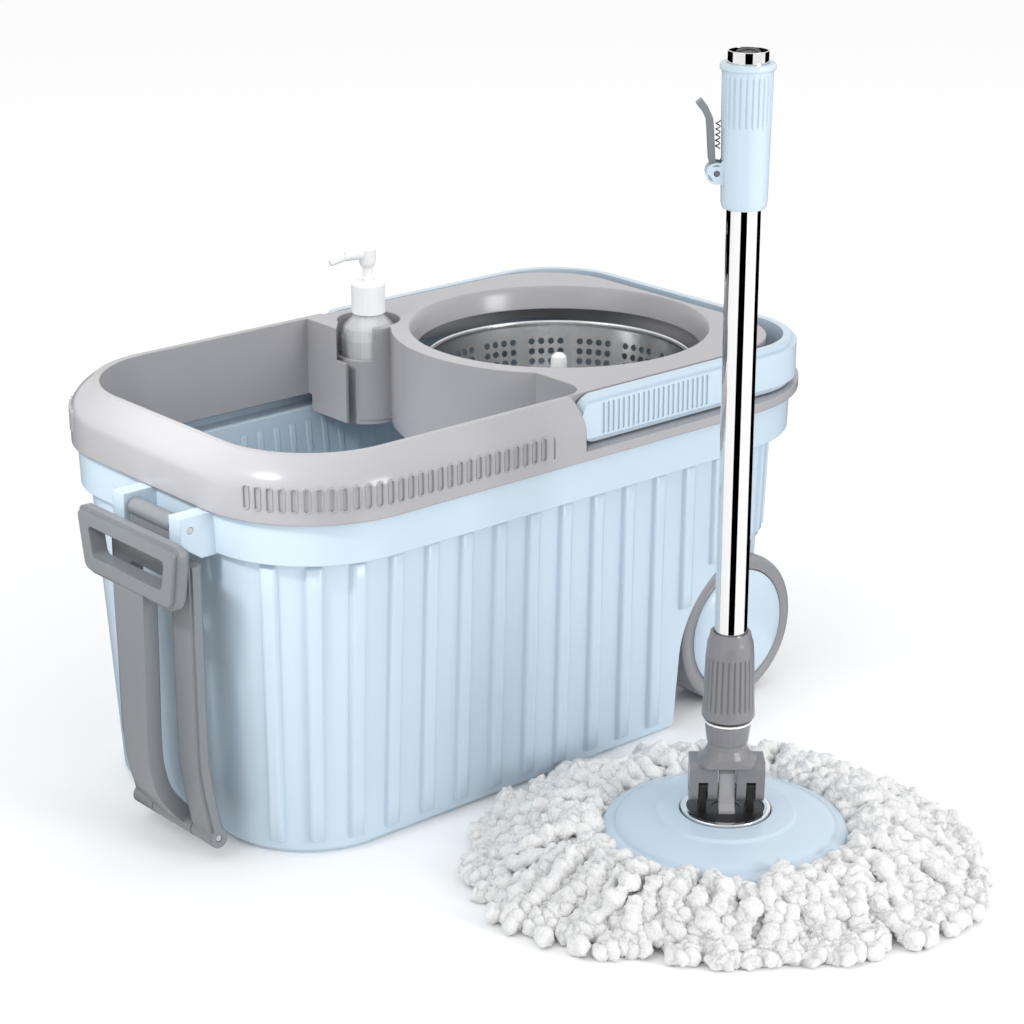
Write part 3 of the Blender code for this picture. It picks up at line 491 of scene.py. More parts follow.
def band_along(points, thickness):
    """The outline of a strip of even thickness along a bent centre line."""
    left, right = [], []
    for i, point in enumerate(points):
        here = Vector(point)
        before = Vector(points[max(i - 1, 0)])
        after = Vector(points[min(i + 1, len(points) - 1)])
        along = (after - before).normalized()
        side = Vector((-along.y, along.x)) * thickness / 2
        left.append(tuple(here + side))
        right.append(tuple(here - side))
    return left + right[::-1]


# ---- folding pull handle ------------------------------------------------------------------------
def softened(outline, radius, steps=10):
    """The outline with its corners rounded."""
    points = [Vector(p) for p in outline]
    made = []
    for i, corner in enumerate(points):
        before, after = points[i - 1], points[(i + 1) % len(points)]
        into, away = (before - corner).normalized(), (after - corner).normalized()
        for k in range(steps + 1):
            t = k / steps
            a, b = corner + into * radius, corner + away * radius
            made.append(tuple(a * (1 - t) ** 2 + corner * 2 * t * (1 - t) + b * t * t))
    return made


def eased(points, steps=6):
    """A bent line with its bends smoothed by Catmull-Rom steps."""
    line = [Vector(p) for p in points]
    made = []
    for i in range(len(line) - 1):
        a, b = line[max(i - 1, 0)], line[i]
        c, d = line[i + 1], line[min(i + 2, len(line) - 1)]
        for k in range(steps):
            t = k / steps
            made.append(0.5 * (2 * b + (c - a) * t + (2 * a - 5 * b + 4 * c - d) * t * t
                               + (3 * b - a - 3 * c + d) * t * t * t))
    return made + [line[-1]]


def pull_frame_body():
    bore = PULL_PIN_R + 0.0003
    top, low = PULL_TOP, PULL_LOW
    leg_x = top[0] - 0.0015
    leg = [(leg_x, 0.2120), (leg_x, 0.1400), (leg_x, 0.0780), (leg_x + 0.0012, 0.0600),
           (leg_x + 0.0040, 0.0420), (low[0], 0.0200)]
    inner, outer = LEG_Y
    frame_body = slab("pull_frame_look", band_along(eased(leg), 0.0095), -outer, outer, DARK_GREY,
                      plane="XZ", bevel=0.0018)
    window = slab("frame_window", softened([(-inner, 0.0), (inner, 0.0), (inner, 0.1900),
                                            (-inner, 0.1900)], 0.004), -0.36, -0.28, plane="YZ")
    cut(frame_body, window)
    neck = slab("frame_neck", band_along([(leg_x, 0.1950), (leg_x, 0.2120), top], 0.0085),
                -0.0225, 0.0225, plane="XZ")
    shoulders = box("frame_shoulders", (-0.36, -0.28), (-0.1, 0.1), (0.2035, 0.24))
    cut(shoulders, box("neck_room", (-0.37, -0.27), (-0.0225, 0.0225), (0.19, 0.25)))
    cut(frame_body, shoulders)
    barrel = cross_rod("frame_barrel", top, -0.0225, 0.0225, 0.0060)
    join(frame_body, neck, barrel)
    knuckle = cross_rod("frame_knuckles", low, -outer, outer, 0.0065)
    gap = box("knuckle_gap", (-0.36, -0.28), (-inner + 0.0001, inner - 0.0001), (0.0, 0.03))
    join(frame_body, cut(knuckle, gap))
    return cut(frame_body, cross_rod("frame_bore", top, -0.05, 0.05, bore),
               cross_rod("knuckle_bore", low, -0.05, 0.05, bore))


def pull_grip_body():
    bore = PULL_PIN_R + 0.0003
    low, inner = PULL_LOW, LEG_Y[0]
    grip_x = (-0.3390, -0.3275)
    stem_x = sum(grip_x) / 2
    ring = [(-0.0575, 0.2225), (-0.0500, 0.1790), (0.0500, 0.1790), (0.0575, 0.2225)]
    grip = slab("pull_grip_look", softened(ring, 0.009), *grip_x, DARK_GREY, plane="YZ",
                bevel=0.0030)
    hole = [(-0.0425, 0.2115), (-0.0385, 0.1915), (0.0385, 0.1915), (0.0425, 0.2115)]
    cut(grip, slab("grip_hole", softened(hole, 0.004), -0.36, -0.30, plane="YZ"))
    stem_line = [(stem_x, 0.1850), (stem_x, 0.1300), (stem_x, 0.0780), (stem_x + 0.0020, 0.0580),
                 (stem_x + 0.0080, 0.0400), (low[0], 0.0190)]
    stem = slab("grip_stem", band_along(eased(stem_line), 0.0105), -0.0165, 0.0165, plane="XZ")
    taper = [(-0.0165, 0.25), (-0.0165, 0.1700), (-0.0135, 0.0600), (-0.0135, -0.01),
             (0.0135, -0.01), (0.0135, 0.0600), (0.0165, 0.1700), (0.0165, 0.25)]
    keep(stem, slab("stem_taper", taper, -0.36, -0.28, plane="YZ"))
    barrel = cross_rod("stem_barrel", low, -inner + 0.0008, inner - 0.0008, 0.0065)
    join(grip, stem, barrel)
    return cut(grip, cross_rod("stem_bore", low, -0.05, 0.05, bore))


def carry_handle_body():
    """A bail that lies in the rim's ledge and swings up about two pins."""
    low, high = LIP_TOP + 0.0010, RIM_TOP - 0.0001
    radius = (high - low) / 2
    handle = slab("carry_bail", rounded((-0.30, BAIL_END), BAIL_OUT, (0.02, 0.062)), low, high,
                  BLUE, bevel=0.0040)
    inside = slab("bail_inside", rounded((-0.35, BAIL_END - BAIL_THICK), BAIL_OUT - BAIL_THICK,
                                         (0.02, 0.0525)), 0.2, 0.3)
    side = arc((BAIL[0], (low + high) / 2), radius, 90, 270, 40) + [(0.25, low), (0.25, high)]
    outline = slab("bail_side", side, -0.2, 0.2, plane="XZ")
    bores = cross_rod("bail_bore", BAIL, -0.1395, 0.1395, 0.0043)
    return cut(keep(handle, outline), inside, bores)


# ---- outlines by length -------------------------------------------------------------------------
class Track:
    """A closed outline walked by its length from its first point."""

    def __init__(self, outline):
        self.points = [Vector(p) for p in outline]
        self.marks = [0.0]
        for i, point in enumerate(self.points):
            step = (self.points[(i + 1) % len(self.points)] - point).length
            self.marks.append(self.marks[-1] + step)
        self.length = self.marks[-1]

    def find(self, s):
        s %= self.length
        low, high = 0, len(self.marks) - 1
        while high - low > 1:
            middle = (low + high) // 2
            low, high = (middle, high) if self.marks[middle] <= s else (low, middle)
        span = self.marks[low + 1] - self.marks[low]
        return low, (s - self.marks[low]) / span if span else 0.0

    def at(self, index, share):
        a, b = self.points[index], self.points[(index + 1) % len(self.points)]
        return a.lerp(b, share)

    def outward(self, s):
        ahead, behind = self.at(*self.find(s + 0.0015)), self.at(*self.find(s - 0.0015))
        along = (ahead - behind).normalized()
        return Vector((along.y, -along.x))


# ---- bucket detail ------------------------------------------------------------------------------
FLUTES = 47                      # upright bars round the wall
FLUTE_SHARE = 0.44               # a bar's width over its pitch
FLUTE_HEIGHT = 0.0034
FLUTE_Z = (0.0085, 0.2035)
INNER_FLUTES = FLUTES * 2        # faint bars inside
INNER_SHARE, INNER_HEIGHT, INNER_Z = 0.5, -0.0003, (0.012, 0.200)
PLAIN_X, PLAIN_Y = -0.262, -0.085   # the wall behind the pull handle has no bars
INNER_END = 0.03                 # nor has the inside beyond the partition
BAIL_SLOTS, BAIL_SLOT_PITCH = 22, 0.0045
RIM_SLOTS, RIM_SLOT_PITCH = 29, 0.0077   # the small slots along the rim, on each side


def ramp(value, low, high):
    """A soft step from 0 at low to 1 at high."""
    share = min(1.0, max(0.0, (value - low) / (high - low)))
    return share * share * (3 - 2 * share)


def wall_point(tracks, s, z, out):
    """A point on the bucket's wall, or out from it."""
    index, share = tracks[1].find(s)
    rise = (z - WALL_Z[0]) / (WALL_Z[1] - WALL_Z[0])
    flat = tracks[0].at(index, share).lerp(tracks[1].at(index, share), rise)
    flat += tracks[1].outward(s) * out
    return (flat.x, flat.y, z)


def flutes(name, count, share, height, zone, skip):
    """Raised upright bars round the wall, in a z range. height is negative on the inside."""
    sink = 0.0006                # how far a bar's edges go into the wall
    tracks = (Track(rounded(*WALL_LOW)), Track(rounded(*WALL_HIGH)))
    pitch = tracks[1].length / count
    across = [-1.0, -0.93, -0.86, -0.78, -0.70, -0.35, 0.0, 0.35, 0.70, 0.78, 0.86, 0.93, 1.0]
    bm = bmesh.new()
    for number in range(count):
        middle = (number + 0.5) * pitch
        spot = wall_point(tracks, middle, 0.1, 0.0)
        if skip(spot):
            continue
        low, high = zone
        reach = ARCH_R + 0.0035
        if spot[0] > 0 and abs(spot[1]) > 0.08:
            off = max(0.0, abs(spot[0] - WHEEL[0]) - pitch * share / 2)
            if off < reach:
                low = WHEEL[1] + sqrt(reach * reach - off * off)
        if high - low < 0.03:
            continue
        ends = (0.0, 0.0004, 0.0009, 0.0015, 0.0024)
        levels = [low + e for e in ends] + [low + (high - low) * k / 8 for k in range(1, 8)]
        levels += [high - e for e in reversed(ends)]
        rows = []
        for z in levels:
            rise = min(ramp(z, low, low + 0.0024), ramp(z, high, high - 0.0024)) \
                if low < z < high else 0.0
            row = []
            for u in across:
                lift = (1.0 - ramp(abs(u), 0.68, 1.0)) * rise
                out = (abs(height) + sink) * lift - sink
                out = out if height > 0 else -out - WALL
                point = wall_point(tracks, middle + u * pitch * share / 2, z, out)
                row.append(bm.verts.new(point))
            rows.append(row)
        for a, b in zip(rows, rows[1:]):
            for i in range(len(across) - 1):
                bm.faces.new((a[i], a[i + 1], b[i + 1], b[i]))
    made = finish_mesh(bm, name, BLUE)
    made.data.shade_smooth()
    return made


def pill(bm, place, along, out, half_width, low, high, depth, proud):
    """A round-ended upright slot cutter standing through a wall."""
    half_turn = [pi * k / 8 for k in range(9)]
    outline = [(half_width * cos(a), high - half_width + half_width * sin(a)) for a in half_turn]
    outline += [(-half_width * cos(a), low + half_width - half_width * sin(a))
                for a in half_turn]
    rings = []
    for step in (-depth, proud):
        rings.append([bm.verts.new((place.x + along.x * a + out.x * step,
                                    place.y + along.y * a + out.y * step, z)) for a, z in outline])
    count = len(outline)
    for i in range(count):
        j = (i + 1) % count
        bm.faces.new((rings[0][i], rings[0][j], rings[1][j], rings[1][i]))
    bm.faces.new(rings[0][::-1])
    bm.faces.new(rings[1])


def slots(name, track, starts, half_width, low, high, depth, proud=0.004):
    """Upright slot cutters at the given lengths along the track."""
    bm = bmesh.new()
    for s in starts:
        place = track.at(*track.find(s))
        out = track.outward(s)
        pill(bm, place, Vector((-out.y, out.x)), out, half_width, low, high, depth, proud)
    return finish_mesh(bm, name)


def length_at(track, x, y):
    """How far along the outline the point nearest to (x, y) lies."""
    spots = [k * track.length / 4000 for k in range(4000)]
    return min(spots, key=lambda s: (track.at(*track.find(s)) - Vector((x, y))).length)


def build_bucket():
    made = baked(bucket_shell())
    show(made, "bucket", "blue_plastic", "bucket_shell")
    bars = flutes("bucket_flutes", FLUTES, FLUTE_SHARE, FLUTE_HEIGHT, FLUTE_Z,
                  skip=lambda p: p[0] < PLAIN_X and p[1] > PLAIN_Y)
    show(bars, "bucket", "blue_plastic")
    inner = flutes("bucket_inner_flutes", INNER_FLUTES, INNER_SHARE, INNER_HEIGHT, INNER_Z,
                   skip=lambda p: p[0] > INNER_END)
    show(inner, "bucket", "blue_plastic")

    rim = rim_frame()
    track = Track(grown(*RIM, 0.0))
    front, rear = length_at(track, -0.100, -RIM_HALF), length_at(track, -0.100, RIM_HALF)
    starts = [front - RIM_SLOT_PITCH * k for k in range(RIM_SLOTS)]
    starts += [rear + RIM_SLOT_PITCH * k for k in range(RIM_SLOTS)]
    join(rim, slots("rim_slot_beads", track, starts, 0.0025, 0.2419, 0.2580, 0.0015, 0.0006))
    cut(rim, slots("rim_slots", track, starts, 0.0016, 0.2426, 0.2571, 0.0008))
    seams = [length_at(track, -0.091, sign * RIM_HALF) for sign in (-1, 1)]
    cut(rim, slots("rim_seams", track, seams, 0.0006, 0.2415, 0.2610, 0.0008))
    show(baked(rim), "bucket", "grey_plastic", "rim_frame")

    bail = carry_handle_body()
    track = Track(rounded((-0.30, BAIL_END), BAIL_OUT, (0.02, 0.062)))
    starts = []
    for sign in (-1, 1):
        starts += [length_at(track, -0.043 + BAIL_SLOT_PITCH * k, sign * BAIL_OUT)
                   for k in range(BAIL_SLOTS)]
    cut(bail, slots("bail_slots", track, starts, 0.0010, 0.2470, 0.2680, 0.0010))
    show(baked(bail), "bail", "blue_plastic", "carry_handle")


def build_pull():
    before = set(bpy.data.objects)
    pieces = ((pull_frame_body(), "pull_frame_body", "pull_frame"),
              (pull_grip_body(), "pull_grip_body", "pull_grip"))
    for made in set(bpy.data.objects) - before:
        made.location.y = PULL_Y
    for made, body, node in pieces:
        show(baked(made), body, "dark_grey_plastic", node)


def build_wheels():
    inner, outer = WHEEL_FACES
    for side, axis in (("front", "-Y"), ("rear", "+Y")):
        tyre = turned("tyre_" + side, [
            (0.0490, outer - 0.0004), (0.0505, outer), (0.0528, outer - 0.0005),
            (0.0544, outer - 0.0018), (WHEEL_R, outer - 0.0040), (WHEEL_R, inner + 0.0030),
            (0.0544, inner + 0.0012), (0.0520, inner), (0.0440, inner), (0.0440, inner + 0.0140),
            (0.0110, inner + 0.0140), (0.0110, inner - 0.0040), (0.0043, inner - 0.0040),
            (0.0043, inner + 0.0230), (0.0110, inner + 0.0230), (0.0110, inner + 0.0170),
            (0.0448, inner + 0.0170), (0.0448, outer - 0.0008), (0.0462, outer - 0.0016),
            (0.0474, outer - 0.0014)], WHEEL_GREY, WHEEL, axis)
        show(baked(tyre), side + "_wheel", "wheel_grey", "wheel_" + side)
        cap = turned("cap_" + side, [
            (0.0, outer + 0.0075), (0.0100, outer + 0.0073), (0.0200, outer + 0.0066),
            (0.0300, outer + 0.0051), (0.0380, outer + 0.0030), (0.0425, outer + 0.0008),
            (0.0440, outer - 0.0006), (0.0444, outer - 0.0030), (0.0444, outer - 0.0080),
            (0.0422, outer - 0.0080), (0.0422, outer - 0.0020), (0.0370, outer + 0.0008),
            (0.0200, outer + 0.0042), (0.0, outer + 0.0052)], BLUE, WHEEL, axis)
        show(baked(cap), side + "_wheel", "blue_plastic", "wheel_cap_" + side)


# ---- wringer basket -----------------------------------------------------------------------------
def punched(name, at, columns, rows, solid, radius, size, look, thickness):
    """A sheet of square cells, each with a round hole unless solid. at(u, v) places a point."""
    bm = bmesh.new()
    known = {}

    def vertex(u, v):
        key = (round(u % columns, 4), round(v, 4))
        if key not in known:
            known[key] = bm.verts.new(at(u, v))
        return known[key]

    border = [(-1, -1), (-0.5, -1), (0, -1), (0.5, -1), (1, -1), (1, -0.5), (1, 0), (1, 0.5),
              (1, 1), (0.5, 1), (0, 1), (-0.5, 1), (-1, 1), (-1, 0.5), (-1, 0), (-1, -0.5)]
    for i in range(columns):
        for j in range(rows):
            middle = (i + 0.5, j + 0.5)
            edge = [vertex(middle[0] + x / 2, middle[1] + y / 2) for x, y in border]
            if solid(i, j):
                bm.faces.new(edge)
                continue
            wide, tall = size(i, j)
            ring = [vertex(middle[0] + radius / wide * cos(atan2(y, x)),
                           middle[1] + radius / tall * sin(atan2(y, x))) for x, y in border]
            for k in range(16):
                n = (k + 1) % 16
                bm.faces.new((edge[k], edge[n], ring[n], ring[k]))
    made = finish_mesh(bm, name, look)
    sheet = made.modifiers.new("sheet", "SOLIDIFY")
    sheet.thickness = thickness
    sheet.offset = 0.0
    return made


WALL_R = (0.0822, 0.0944)        # the steel wall's radius, at its foot and its top
WALL_CELLS = (80, 13)            # cells round and up the wall
FLOOR_CELLS = (40, 5)
FLOOR_R = (0.0300, 0.0700)       # the perforated part of the floor


def build_basket():
    """The steel basket: perforated wall and floor, rolled lip, throat, bowl and hub."""
    x, y = BASKET
    low, top = BASKET_FLOOR + 0.0122, BASKET_TOP - 0.0042
    columns, rows = WALL_CELLS
    foot, spread = WALL_R[0], WALL_R[1] - WALL_R[0]

    def on_wall(u, v):
        share, turn = v / rows, 2 * pi * u / columns
        radius = foot + spread * share - 0.0006
        return (x + radius * cos(turn), y + radius * sin(turn), low + (top - low) * share)

    wall = punched("basket_wall", on_wall, columns, rows,
                   lambda i, j: i % 5 == 4 or (rows - 1 - j) % 5 == 0, 0.0024,
                   lambda i, j: (2 * pi * (foot + spread * j / rows) / columns,
                                 (top - low) / rows), STAINLESS, 0.0009)
    show(baked(wall, 50), "basket", "stainless", "spin_basket")

    def on_floor(u, v):
        radius = FLOOR_R[0] + (FLOOR_R[1] - FLOOR_R[0]) * v / FLOOR_CELLS[1]
        turn = 2 * pi * u / FLOOR_CELLS[0]
        return (x + radius * cos(turn), y + radius * sin(turn), BASKET_FLOOR + 0.0006)

    floor = punched("basket_floor", on_floor, *FLOOR_CELLS, lambda i, j: i % 4 == 3, 0.0017,
                    lambda i, j: (2 * pi * (0.0340 + 0.008 * j) / FLOOR_CELLS[0], 0.008),
                    STAINLESS, 0.0011)
    show(baked(floor, 50), "basket", "stainless")
    lip = [(BASKET_R - 0.0016 + 0.0015 * cos(a), BASKET_TOP - 0.0016 + 0.0015 * sin(a))
           for a in [2 * pi * k / 12 for k in range(12)]]
    throat = [(0.0946, top + 0.0022), (0.0946, top - 0.0010), (0.0934, top - 0.0010),
              (0.0934, top + 0.0022)]
    base = BASKET_FLOOR
    bowl = [(0.0820, low + 0.0004), (0.0802, low - 0.0070), (0.0782, base + 0.0022),
            (0.0755, base), (0.0690, base), (0.0690, base + 0.0012), (0.0750, base + 0.0012),
            (0.0772, base + 0.0030), (0.0790, low - 0.0066), (0.0808, low + 0.0004)]
    hub = [(0.0310, base), (0.0125, base), (0.0125, base + 0.0012), (0.0310, base + 0.0012)]
    for name, profile in (("roll", lip), ("throat", throat), ("bowl", bowl), ("hub", hub)):
        ring = turned("basket_" + name, profile, STAINLESS, BASKET)
        show(baked(ring, 60), "basket", "stainless")


# ---- mop ----------------------------------------------------------------------------------------
STAND = Matrix.Translation((MOP[0], MOP[1], 0.0)) @ Matrix.Rotation(MOP_TURN, 4, "Z")


def stand(made):
    """Moves a piece from the mop's own frame to where the mop stands."""
    made.data.transform(STAND)
    return made


def ribbed(name, profile, ribs, depth, look, fine=10):
    """A turned body whose marked points go in and out round the axis. Points are (r, z, mark)."""
    rows = []
    for r, z, mark in profile:
        row = []
        for k in range(ribs * fine):
            wave = cos(2 * pi * k / fine)
            groove = ramp(wave, 0.15, 0.95) * depth * mark
            turn = 2 * pi * k / (ribs * fine)
            row.append(((r - groove) * cos(turn), (r - groove) * sin(turn), z))
        rows.append(row)
    rows.append(rows[0])
    made = from_grid(name, rows, look)
    bm = bmesh.new()
    bm.from_mesh(made.data)
    bmesh.ops.remove_doubles(bm, verts=bm.verts, dist=1e-6)
    bmesh.ops.recalc_face_normals(bm, faces=bm.faces)
    bm.to_mesh(made.data)
    bm.free()
    return made


# Layers of strands from the floor up: how many, the range of their peak heights, and the range of
# the radius that they reach.
STRAND_LAYERS = ((104, 0.0055, 0.0100, 0.1560, 0.1660), (104, 0.0120, 0.0180, 0.1480, 0.1640),
                 (104, 0.0200, 0.0270, 0.1380, 0.1590), (100, 0.0290, 0.0360, 0.1220, 0.1500))
STRAND_ROOT = 0.070              # radius that the strands start at, under the disc
STRAND_WIDER = 1.03              # they reach further to the sides
STRAND_SHORTER = 0.24            # and less far in front
LUMPS = ((0.0029, 170.0), (0.0022, 460.0))   # height and fineness of the yarn's lumps


def strand_mesh():
    """Loose chunky yarn in layers, each strand a lumpy tube from under the disc outwards."""
    verts, faces = [], []
    around, steps = 12, 56
    (coarse, coarse_scale), (fine, fine_scale) = LUMPS
    for count, low_top, high_top, near, far in STRAND_LAYERS:
        for k in range(count):
            turn = 2 * pi * (k + random.uniform(-0.45, 0.45)) / count
            drift = random.uniform(-0.22, 0.22)
            sway, phase = random.uniform(0.002, 0.005), random.uniform(0, 2 * pi)
            end, peak = random.uniform(near, far), random.uniform(low_top, high_top)
            end *= STRAND_WIDER - STRAND_SHORTER * max(0.0, -sin(turn)) ** 2
            thick = random.uniform(0.0050, 0.0062)
            seed = Vector((random.uniform(-50, 50), random.uniform(-50, 50), 0.0))
            path = []
            for i in range(steps + 1):
                t = i / steps
                r = STRAND_ROOT + (end - STRAND_ROOT) * t
                side = sway * sin(phase + 9.0 * t) / r + drift * t * t
                rise = ramp(t, -0.1, 0.30) * (1 - ramp(t, 0.45, 1.05) * 0.80)
                z = max(thick + 0.0006, 0.010 * (1 - t) * (1 - ramp(t, 0, 0.3)) + peak * rise)
                z += 0.0012 * sin(phase * 2 + 14 * t)
                path.append(Vector((r * cos(turn + side), r * sin(turn + side), z)))
            start = len(verts)
            for i, point in enumerate(path):
                t = i / steps
                along = (path[min(i + 1, steps)] - path[max(i - 1, 0)]).normalized()
                across = along.cross(Vector((0, 0, 1))).normalized()
                up = across.cross(along)
                cap = sqrt(max(0.0, 1 - max(0.0, (t - 0.93) / 0.07) ** 2))
                bulge = 1 + 0.20 * sin(phase + t * 52.0 * (end - STRAND_ROOT) / 0.09)
                for a in range(around):
                    angle = 2 * pi * a / around
                    out = across * cos(angle) + up * sin(angle)
                    lump = coarse * noise.noise((point + out * thick + seed) * coarse_scale)
                    curl = fine * noise.noise((point + out * thick - seed) * fine_scale)
                    radius = (thick * bulge + lump + curl) * max(cap, 0.02)
                    spot = point + out * max(0.0003, radius)
                    spot.z = max(0.0003, spot.z)
                    verts.append(spot)
            for i in range(steps):
                for a in range(around):
                    b = (a + 1) % around
                    p, q = start + i * around, start + (i + 1) * around
                    faces.append((p + a, p + b, q + b, q + a))
            faces.append(tuple(start + steps * around + a for a in range(around)))
            faces.append(tuple(start + a for a in reversed(range(around))))
    mesh = bpy.data.meshes.new("yarn")
    mesh.from_pydata(verts, [], faces)
    mesh.shade_smooth()
    return new_object("yarn", mesh, YARN)


def build_mop_head():
    """Strands, disc, and the chrome trim, with a black plate inside it that is painted shade for
    the shaded well.
    """
    show(stand(strand_mesh()), "mop_head", "white_yarn", "mop_strands")
    disc = turned("disc", [
        (0.0288, 0.0436), (0.0296, 0.0441), (0.0425, 0.0431), (0.0436, 0.0428), (0.0443, 0.0416),
        (0.0452, 0.0412), (0.0560, 0.0397), (0.0640, 0.0376), (0.0682, 0.0361),
        (0.0690, 0.0344), (0.0698, 0.0341), (0.0706, 0.0345), (0.0745, 0.0336), (0.0762, 0.0325),
        (0.0772, 0.0308), (DISC_R, 0.0290), (DISC_R, 0.0262), (0.0762, 0.0222), (0.0742, 0.0222),
        (0.0751, 0.0300), (0.0630, 0.0345), (0.0445, 0.0390), (0.0288, 0.0408)], BLUE)
    show(stand(baked(disc, 60)), "mop_head", "blue_plastic", "mop_disc")
    trim = turned("trim", [
        (0.0274, 0.0455), (0.0280, 0.0453), (0.0282, 0.0448), (0.0282, 0.0390), (0.0244, 0.0390),
        (0.0244, 0.0452), (0.0247, 0.0455)], CHROME)
    show(stand(baked(trim, 60)), "mop_head", "chrome", "pivot_trim")
    # a black plate inside the trim ring: painted shade standing in for the shaded well under the
    # trim
    well = turned("trim_painted_shade", [(0.0243, 0.0444), (0.0243, 0.0392), (0.0090, 0.0392),
                                (0.0090, 0.0444)], BLACK)
    show(stand(baked(well, 60)), "mop_head", "black_plastic")


NUT_RIBS = 26
NUT_RIB_Z = (0.1155, 0.1475)     # the ribbed length of the ferrule nut


def build_ferrule():
    low, high = NUT_RIB_Z
    ribs_z = [low + (high - low) * k / 8 for k in range(9)]
    outer = [(0.0162, 0.1077, 0), (0.0165, 0.1084, 0), (0.0165, 0.1108, 0), (0.0163, 0.1122, 0),
             (0.0162, 0.1135, 0.0), (0.01615, 0.1142, 0.6)]
    outer += [(0.0161 - 0.0011 * (z - 0.1120) / 0.036, z, 1) for z in ribs_z]
    outer += [(0.01495, 0.1486, 0.6), (0.01485, 0.1496, 0), (0.0143, 0.1560, 0),
              (0.0139, 0.1580, 0), (0.0133, 0.1590, 0), (0.0126, 0.1628, 0), (0.0122, 0.1638, 0),
              (0.0108, 0.1640, 0)]
    inner = [(0.0104, 0.1638, 0), (0.0104, 0.1335, 0), (0.0084, 0.1335, 0), (0.0084, 0.1077, 0)]
    nut = ribbed("ferrule", outer + inner, NUT_RIBS, 0.0009, YOKE_GREY)
    show(stand(baked(nut, 40)), "lower_pole", "yoke_grey", "ferrule_nut")


TUBE_WALL = 0.0008
TUBE_LOWER_Z = (0.1339, 0.5050)
TUBE_UPPER_Z = (0.4405, 0.5190)


def build_tubes():
    for name, radius, low, top, body, node in (
            ("pole_lower", LOWER_R, *TUBE_LOWER_Z, "lower_pole", "lower_tube"),
            ("pole_upper", UPPER_R, *TUBE_UPPER_Z, "upper_pole", "upper_tube")):
        inner_r = radius - TUBE_WALL
        tube = turned(name, [(radius, top - 0.0003), (radius, low), (inner_r, low),
                             (inner_r, top - 0.0003), (inner_r + 0.0003, top),
                             (radius - 0.0003, top)], CHROME)
        show(stand(baked(tube, 60)), body, "chrome", node)


SLEEVE_RIBS = 26
SLEEVE_RIB_Z = (0.4770, 0.5040)  # the ribbed length of the lock sleeve


def build_sleeve():
    """The lock sleeve with its ribs, the lever's two cheeks and the window between them."""
    low, top = SLEEVE
    rib_low, rib_high = SLEEVE_RIB_Z
    flute_z = [rib_low + (rib_high - rib_low) * k / 6 for k in range(7)]
    outer = [(0.0124, low, 0), (0.0130, low + 0.0012, 0), (0.0136, low + 0.0035, 0),
             (0.0139, 0.4500, 0), (0.0142, 0.4740, 0), (0.0144, 0.4750, 0), (0.0145, 0.4758, 0.5)]
    outer += [(0.0145 + 0.0003 * (z - rib_low) / 0.027, z, 1) for z in flute_z]
    outer += [(0.0148, 0.5052, 0.5), (0.0148, 0.5066, 0), (0.0150, 0.5078, 0), (0.0161, 0.5086, 0),
              (0.0161, top - 0.0008, 0), (0.0155, top, 0)]
    inner = [(UPPER_R + 0.0003, top, 0), (UPPER_R + 0.0003, 0.4398, 0), (0.0103, 0.4398, 0),
             (0.0103, low, 0)]
    sleeve = ribbed("sleeve", outer + inner, SLEEVE_RIBS, 0.0007, BLUE)
    x, z = LEVER
    for side, sign in SIDES:
        reach = sorted((sign * 0.0042, sign * 0.0062))
        cheek = arc((x, z), 0.0062, 70, 290, 40) + [(-0.0125, z - 0.0075), (-0.0125, z + 0.0085)]
        join(sleeve, slab("cheek_" + side, cheek, *reach, plane="XZ"))
    window = box("sleeve_window", (-0.03, -0.01225), (-0.0041, 0.0041), (0.4425, 0.4560))
    lever_hole = cross_rod("lever_hole", LEVER, -0.01, 0.01, 0.0018, 32)
    cut(sleeve, window, lever_hole)
    for turn in (95, 215):
        middle = (x + 0.0020 * cos(radians(turn)), z + 0.0020 * sin(radians(turn)))
        hole = arc(middle, 0.0034, turn - 52, turn + 52, 2)
        cut(sleeve, slab(f"lug_window_{turn}", hole, -0.02, -0.0050, plane="XZ"))
    show(stand(baked(sleeve, 40)), "upper_pole", "blue_plastic", "lock_sleeve")


# ---- stage --------------------------------------------------------------------------------------
AIM = Vector((0.0022, 0.0, 0.1433))
EYE = Vector((-1.1396, -1.3167, 0.7720))
LENS = 91.4
RIGHT = Vector((cos(MOP_TURN), sin(MOP_TURN), 0))    # the camera's right, level
BACK = Vector((-sin(MOP_TURN), cos(MOP_TURN), 0))    # and away from it
FLOOR_HALF = 8
LAMPS = (("key", -RIGHT * 1.5 - BACK * 0.9 + Vector((0, 0, 2.3)), 1.3, 5),
         ("side", Vector((-2.4, -0.5, 1.3)), 1.2, 4),
         ("fill", RIGHT * 2.3 - BACK * 1.7 + Vector((0, 0, 0.95)), 0.9, 26))
LAMP_AIM = Vector((0, 0, 0.15))
TANK_LAMP = Vector((-0.75, -0.10, 0.75))             # a soft spot into the water opening
TANK_AIM = Vector((-0.11, 0.01, 0.13))
CARD_ARCS = ((-22, 20), (100, 260))                  # degrees round the pole, from its front
CARD_REACH = (0.34, 5.0)
WORLD_STRENGTH = 1.02


def looking(place, aim):
    """The rotation of a camera or lamp at place that points at aim."""
    return (aim - place).to_track_quat("-Z", "Y").to_euler()


def build_camera():
    data = bpy.data.cameras.new("camera")
    data.sensor_width, data.lens = 36.0, LENS
    camera = bpy.data.objects.new("camera", data)
    camera.location = EYE
    camera.rotation_euler = looking(EYE, AIM)
    scene.collection.objects.link(camera)
    scene.camera = camera


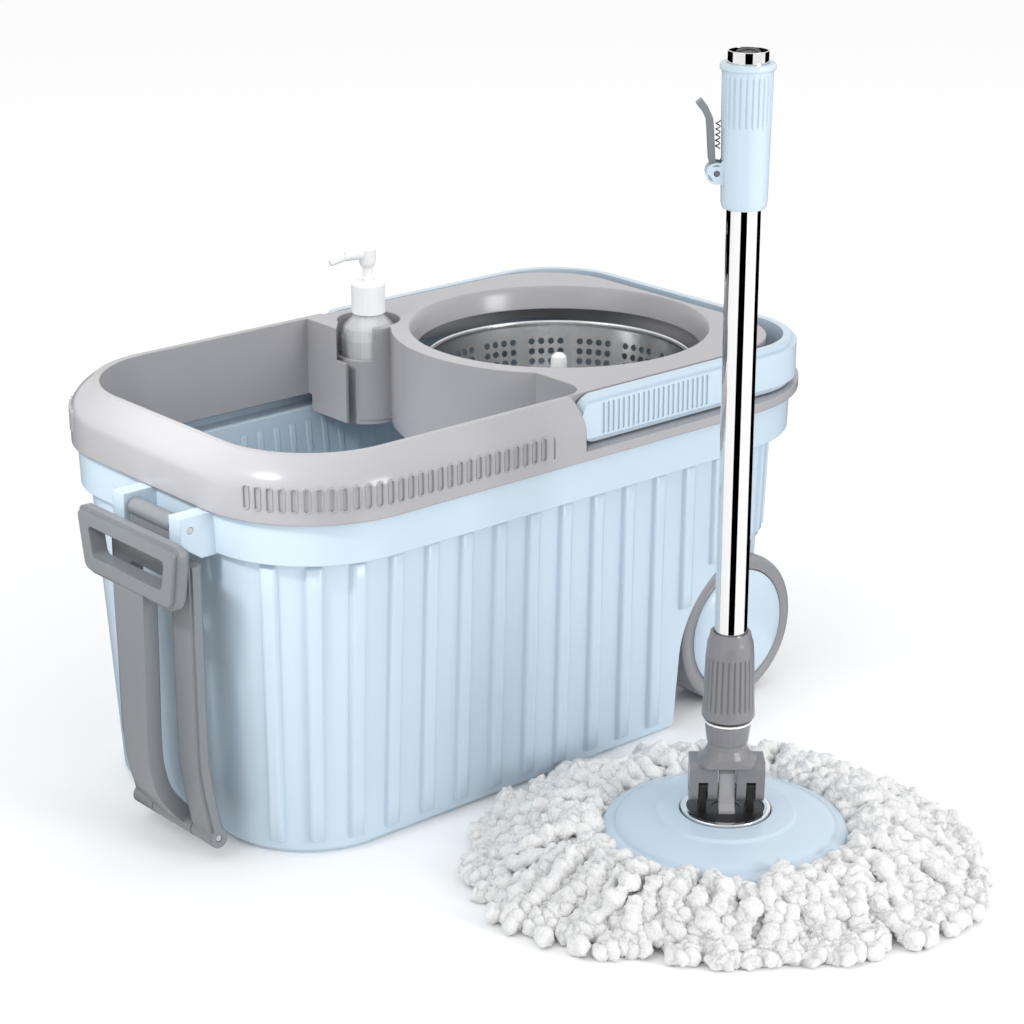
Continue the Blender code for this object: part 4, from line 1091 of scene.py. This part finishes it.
def build_floor():
    far = FLOOR_HALF
    floor = from_grid("floor", [[(-far, -far, 0), (far, -far, 0)], [(-far, far, 0), (far, far, 0)]],
                      material("floor", (0.97, 0.97, 0.97), 1.0), closed=False)


def place_lamp(lamp, spot, aim):
    made = bpy.data.objects.new(lamp.name, lamp)
    made.location = spot
    made.rotation_euler = looking(spot, aim)
    scene.collection.objects.link(made)


def build_lamps():
    """Three soft panels, and a spot that lights the inside of the tank."""
    for name, spot, size, power in LAMPS:
        lamp = bpy.data.lights.new(name, "AREA")
        lamp.size, lamp.energy = size, power
        place_lamp(lamp, spot, LAMP_AIM)
    lamp = bpy.data.lights.new("tank_lamp", "SPOT")
    lamp.energy, lamp.shadow_soft_size = 24, 0.08
    lamp.spot_size, lamp.spot_blend = radians(25), 0.8
    place_lamp(lamp, TANK_LAMP, TANK_AIM)


def build_cards():
    """Black cards on the floor that only the chrome sees, for the dark stripes along the pole."""
    dark = material("dark_card", (0.0, 0.0, 0.0), 1.0, Specular_IOR_Level=0.0)
    foot = Vector((MOP[0], MOP[1], 0.0015))
    for number, (start, end) in enumerate(CARD_ARCS):
        rows = []
        for reach in CARD_REACH:
            rows.append([foot + (RIGHT * sin(radians(a)) - BACK * cos(radians(a))) * reach
                         for a in range(start, end + 1, 2)])
        card = from_grid(f"dark_card_{number}", rows, dark, closed=False)
        card.visible_camera = card.visible_diffuse = card.visible_shadow = False
        card.visible_transmission = False


def build_world():
    world = bpy.data.worlds.new("white")
    world.use_nodes = True
    world.node_tree.nodes["Background"].inputs["Color"].default_value = (1, 1, 1, 1)
    world.node_tree.nodes["Background"].inputs["Strength"].default_value = WORLD_STRENGTH
    scene.world = world
    scene.view_settings.view_transform = "Standard"
    scene.view_settings.exposure = 0.0


build_bucket()
build_wheels()
build_basket()
build_pull()
build_mop_head()
build_ferrule()
build_tubes()
build_sleeve()
build_camera()
build_floor()
build_lamps()
build_cards()
build_world()
for cutter in cutters:
    bpy.data.objects.remove(cutter)
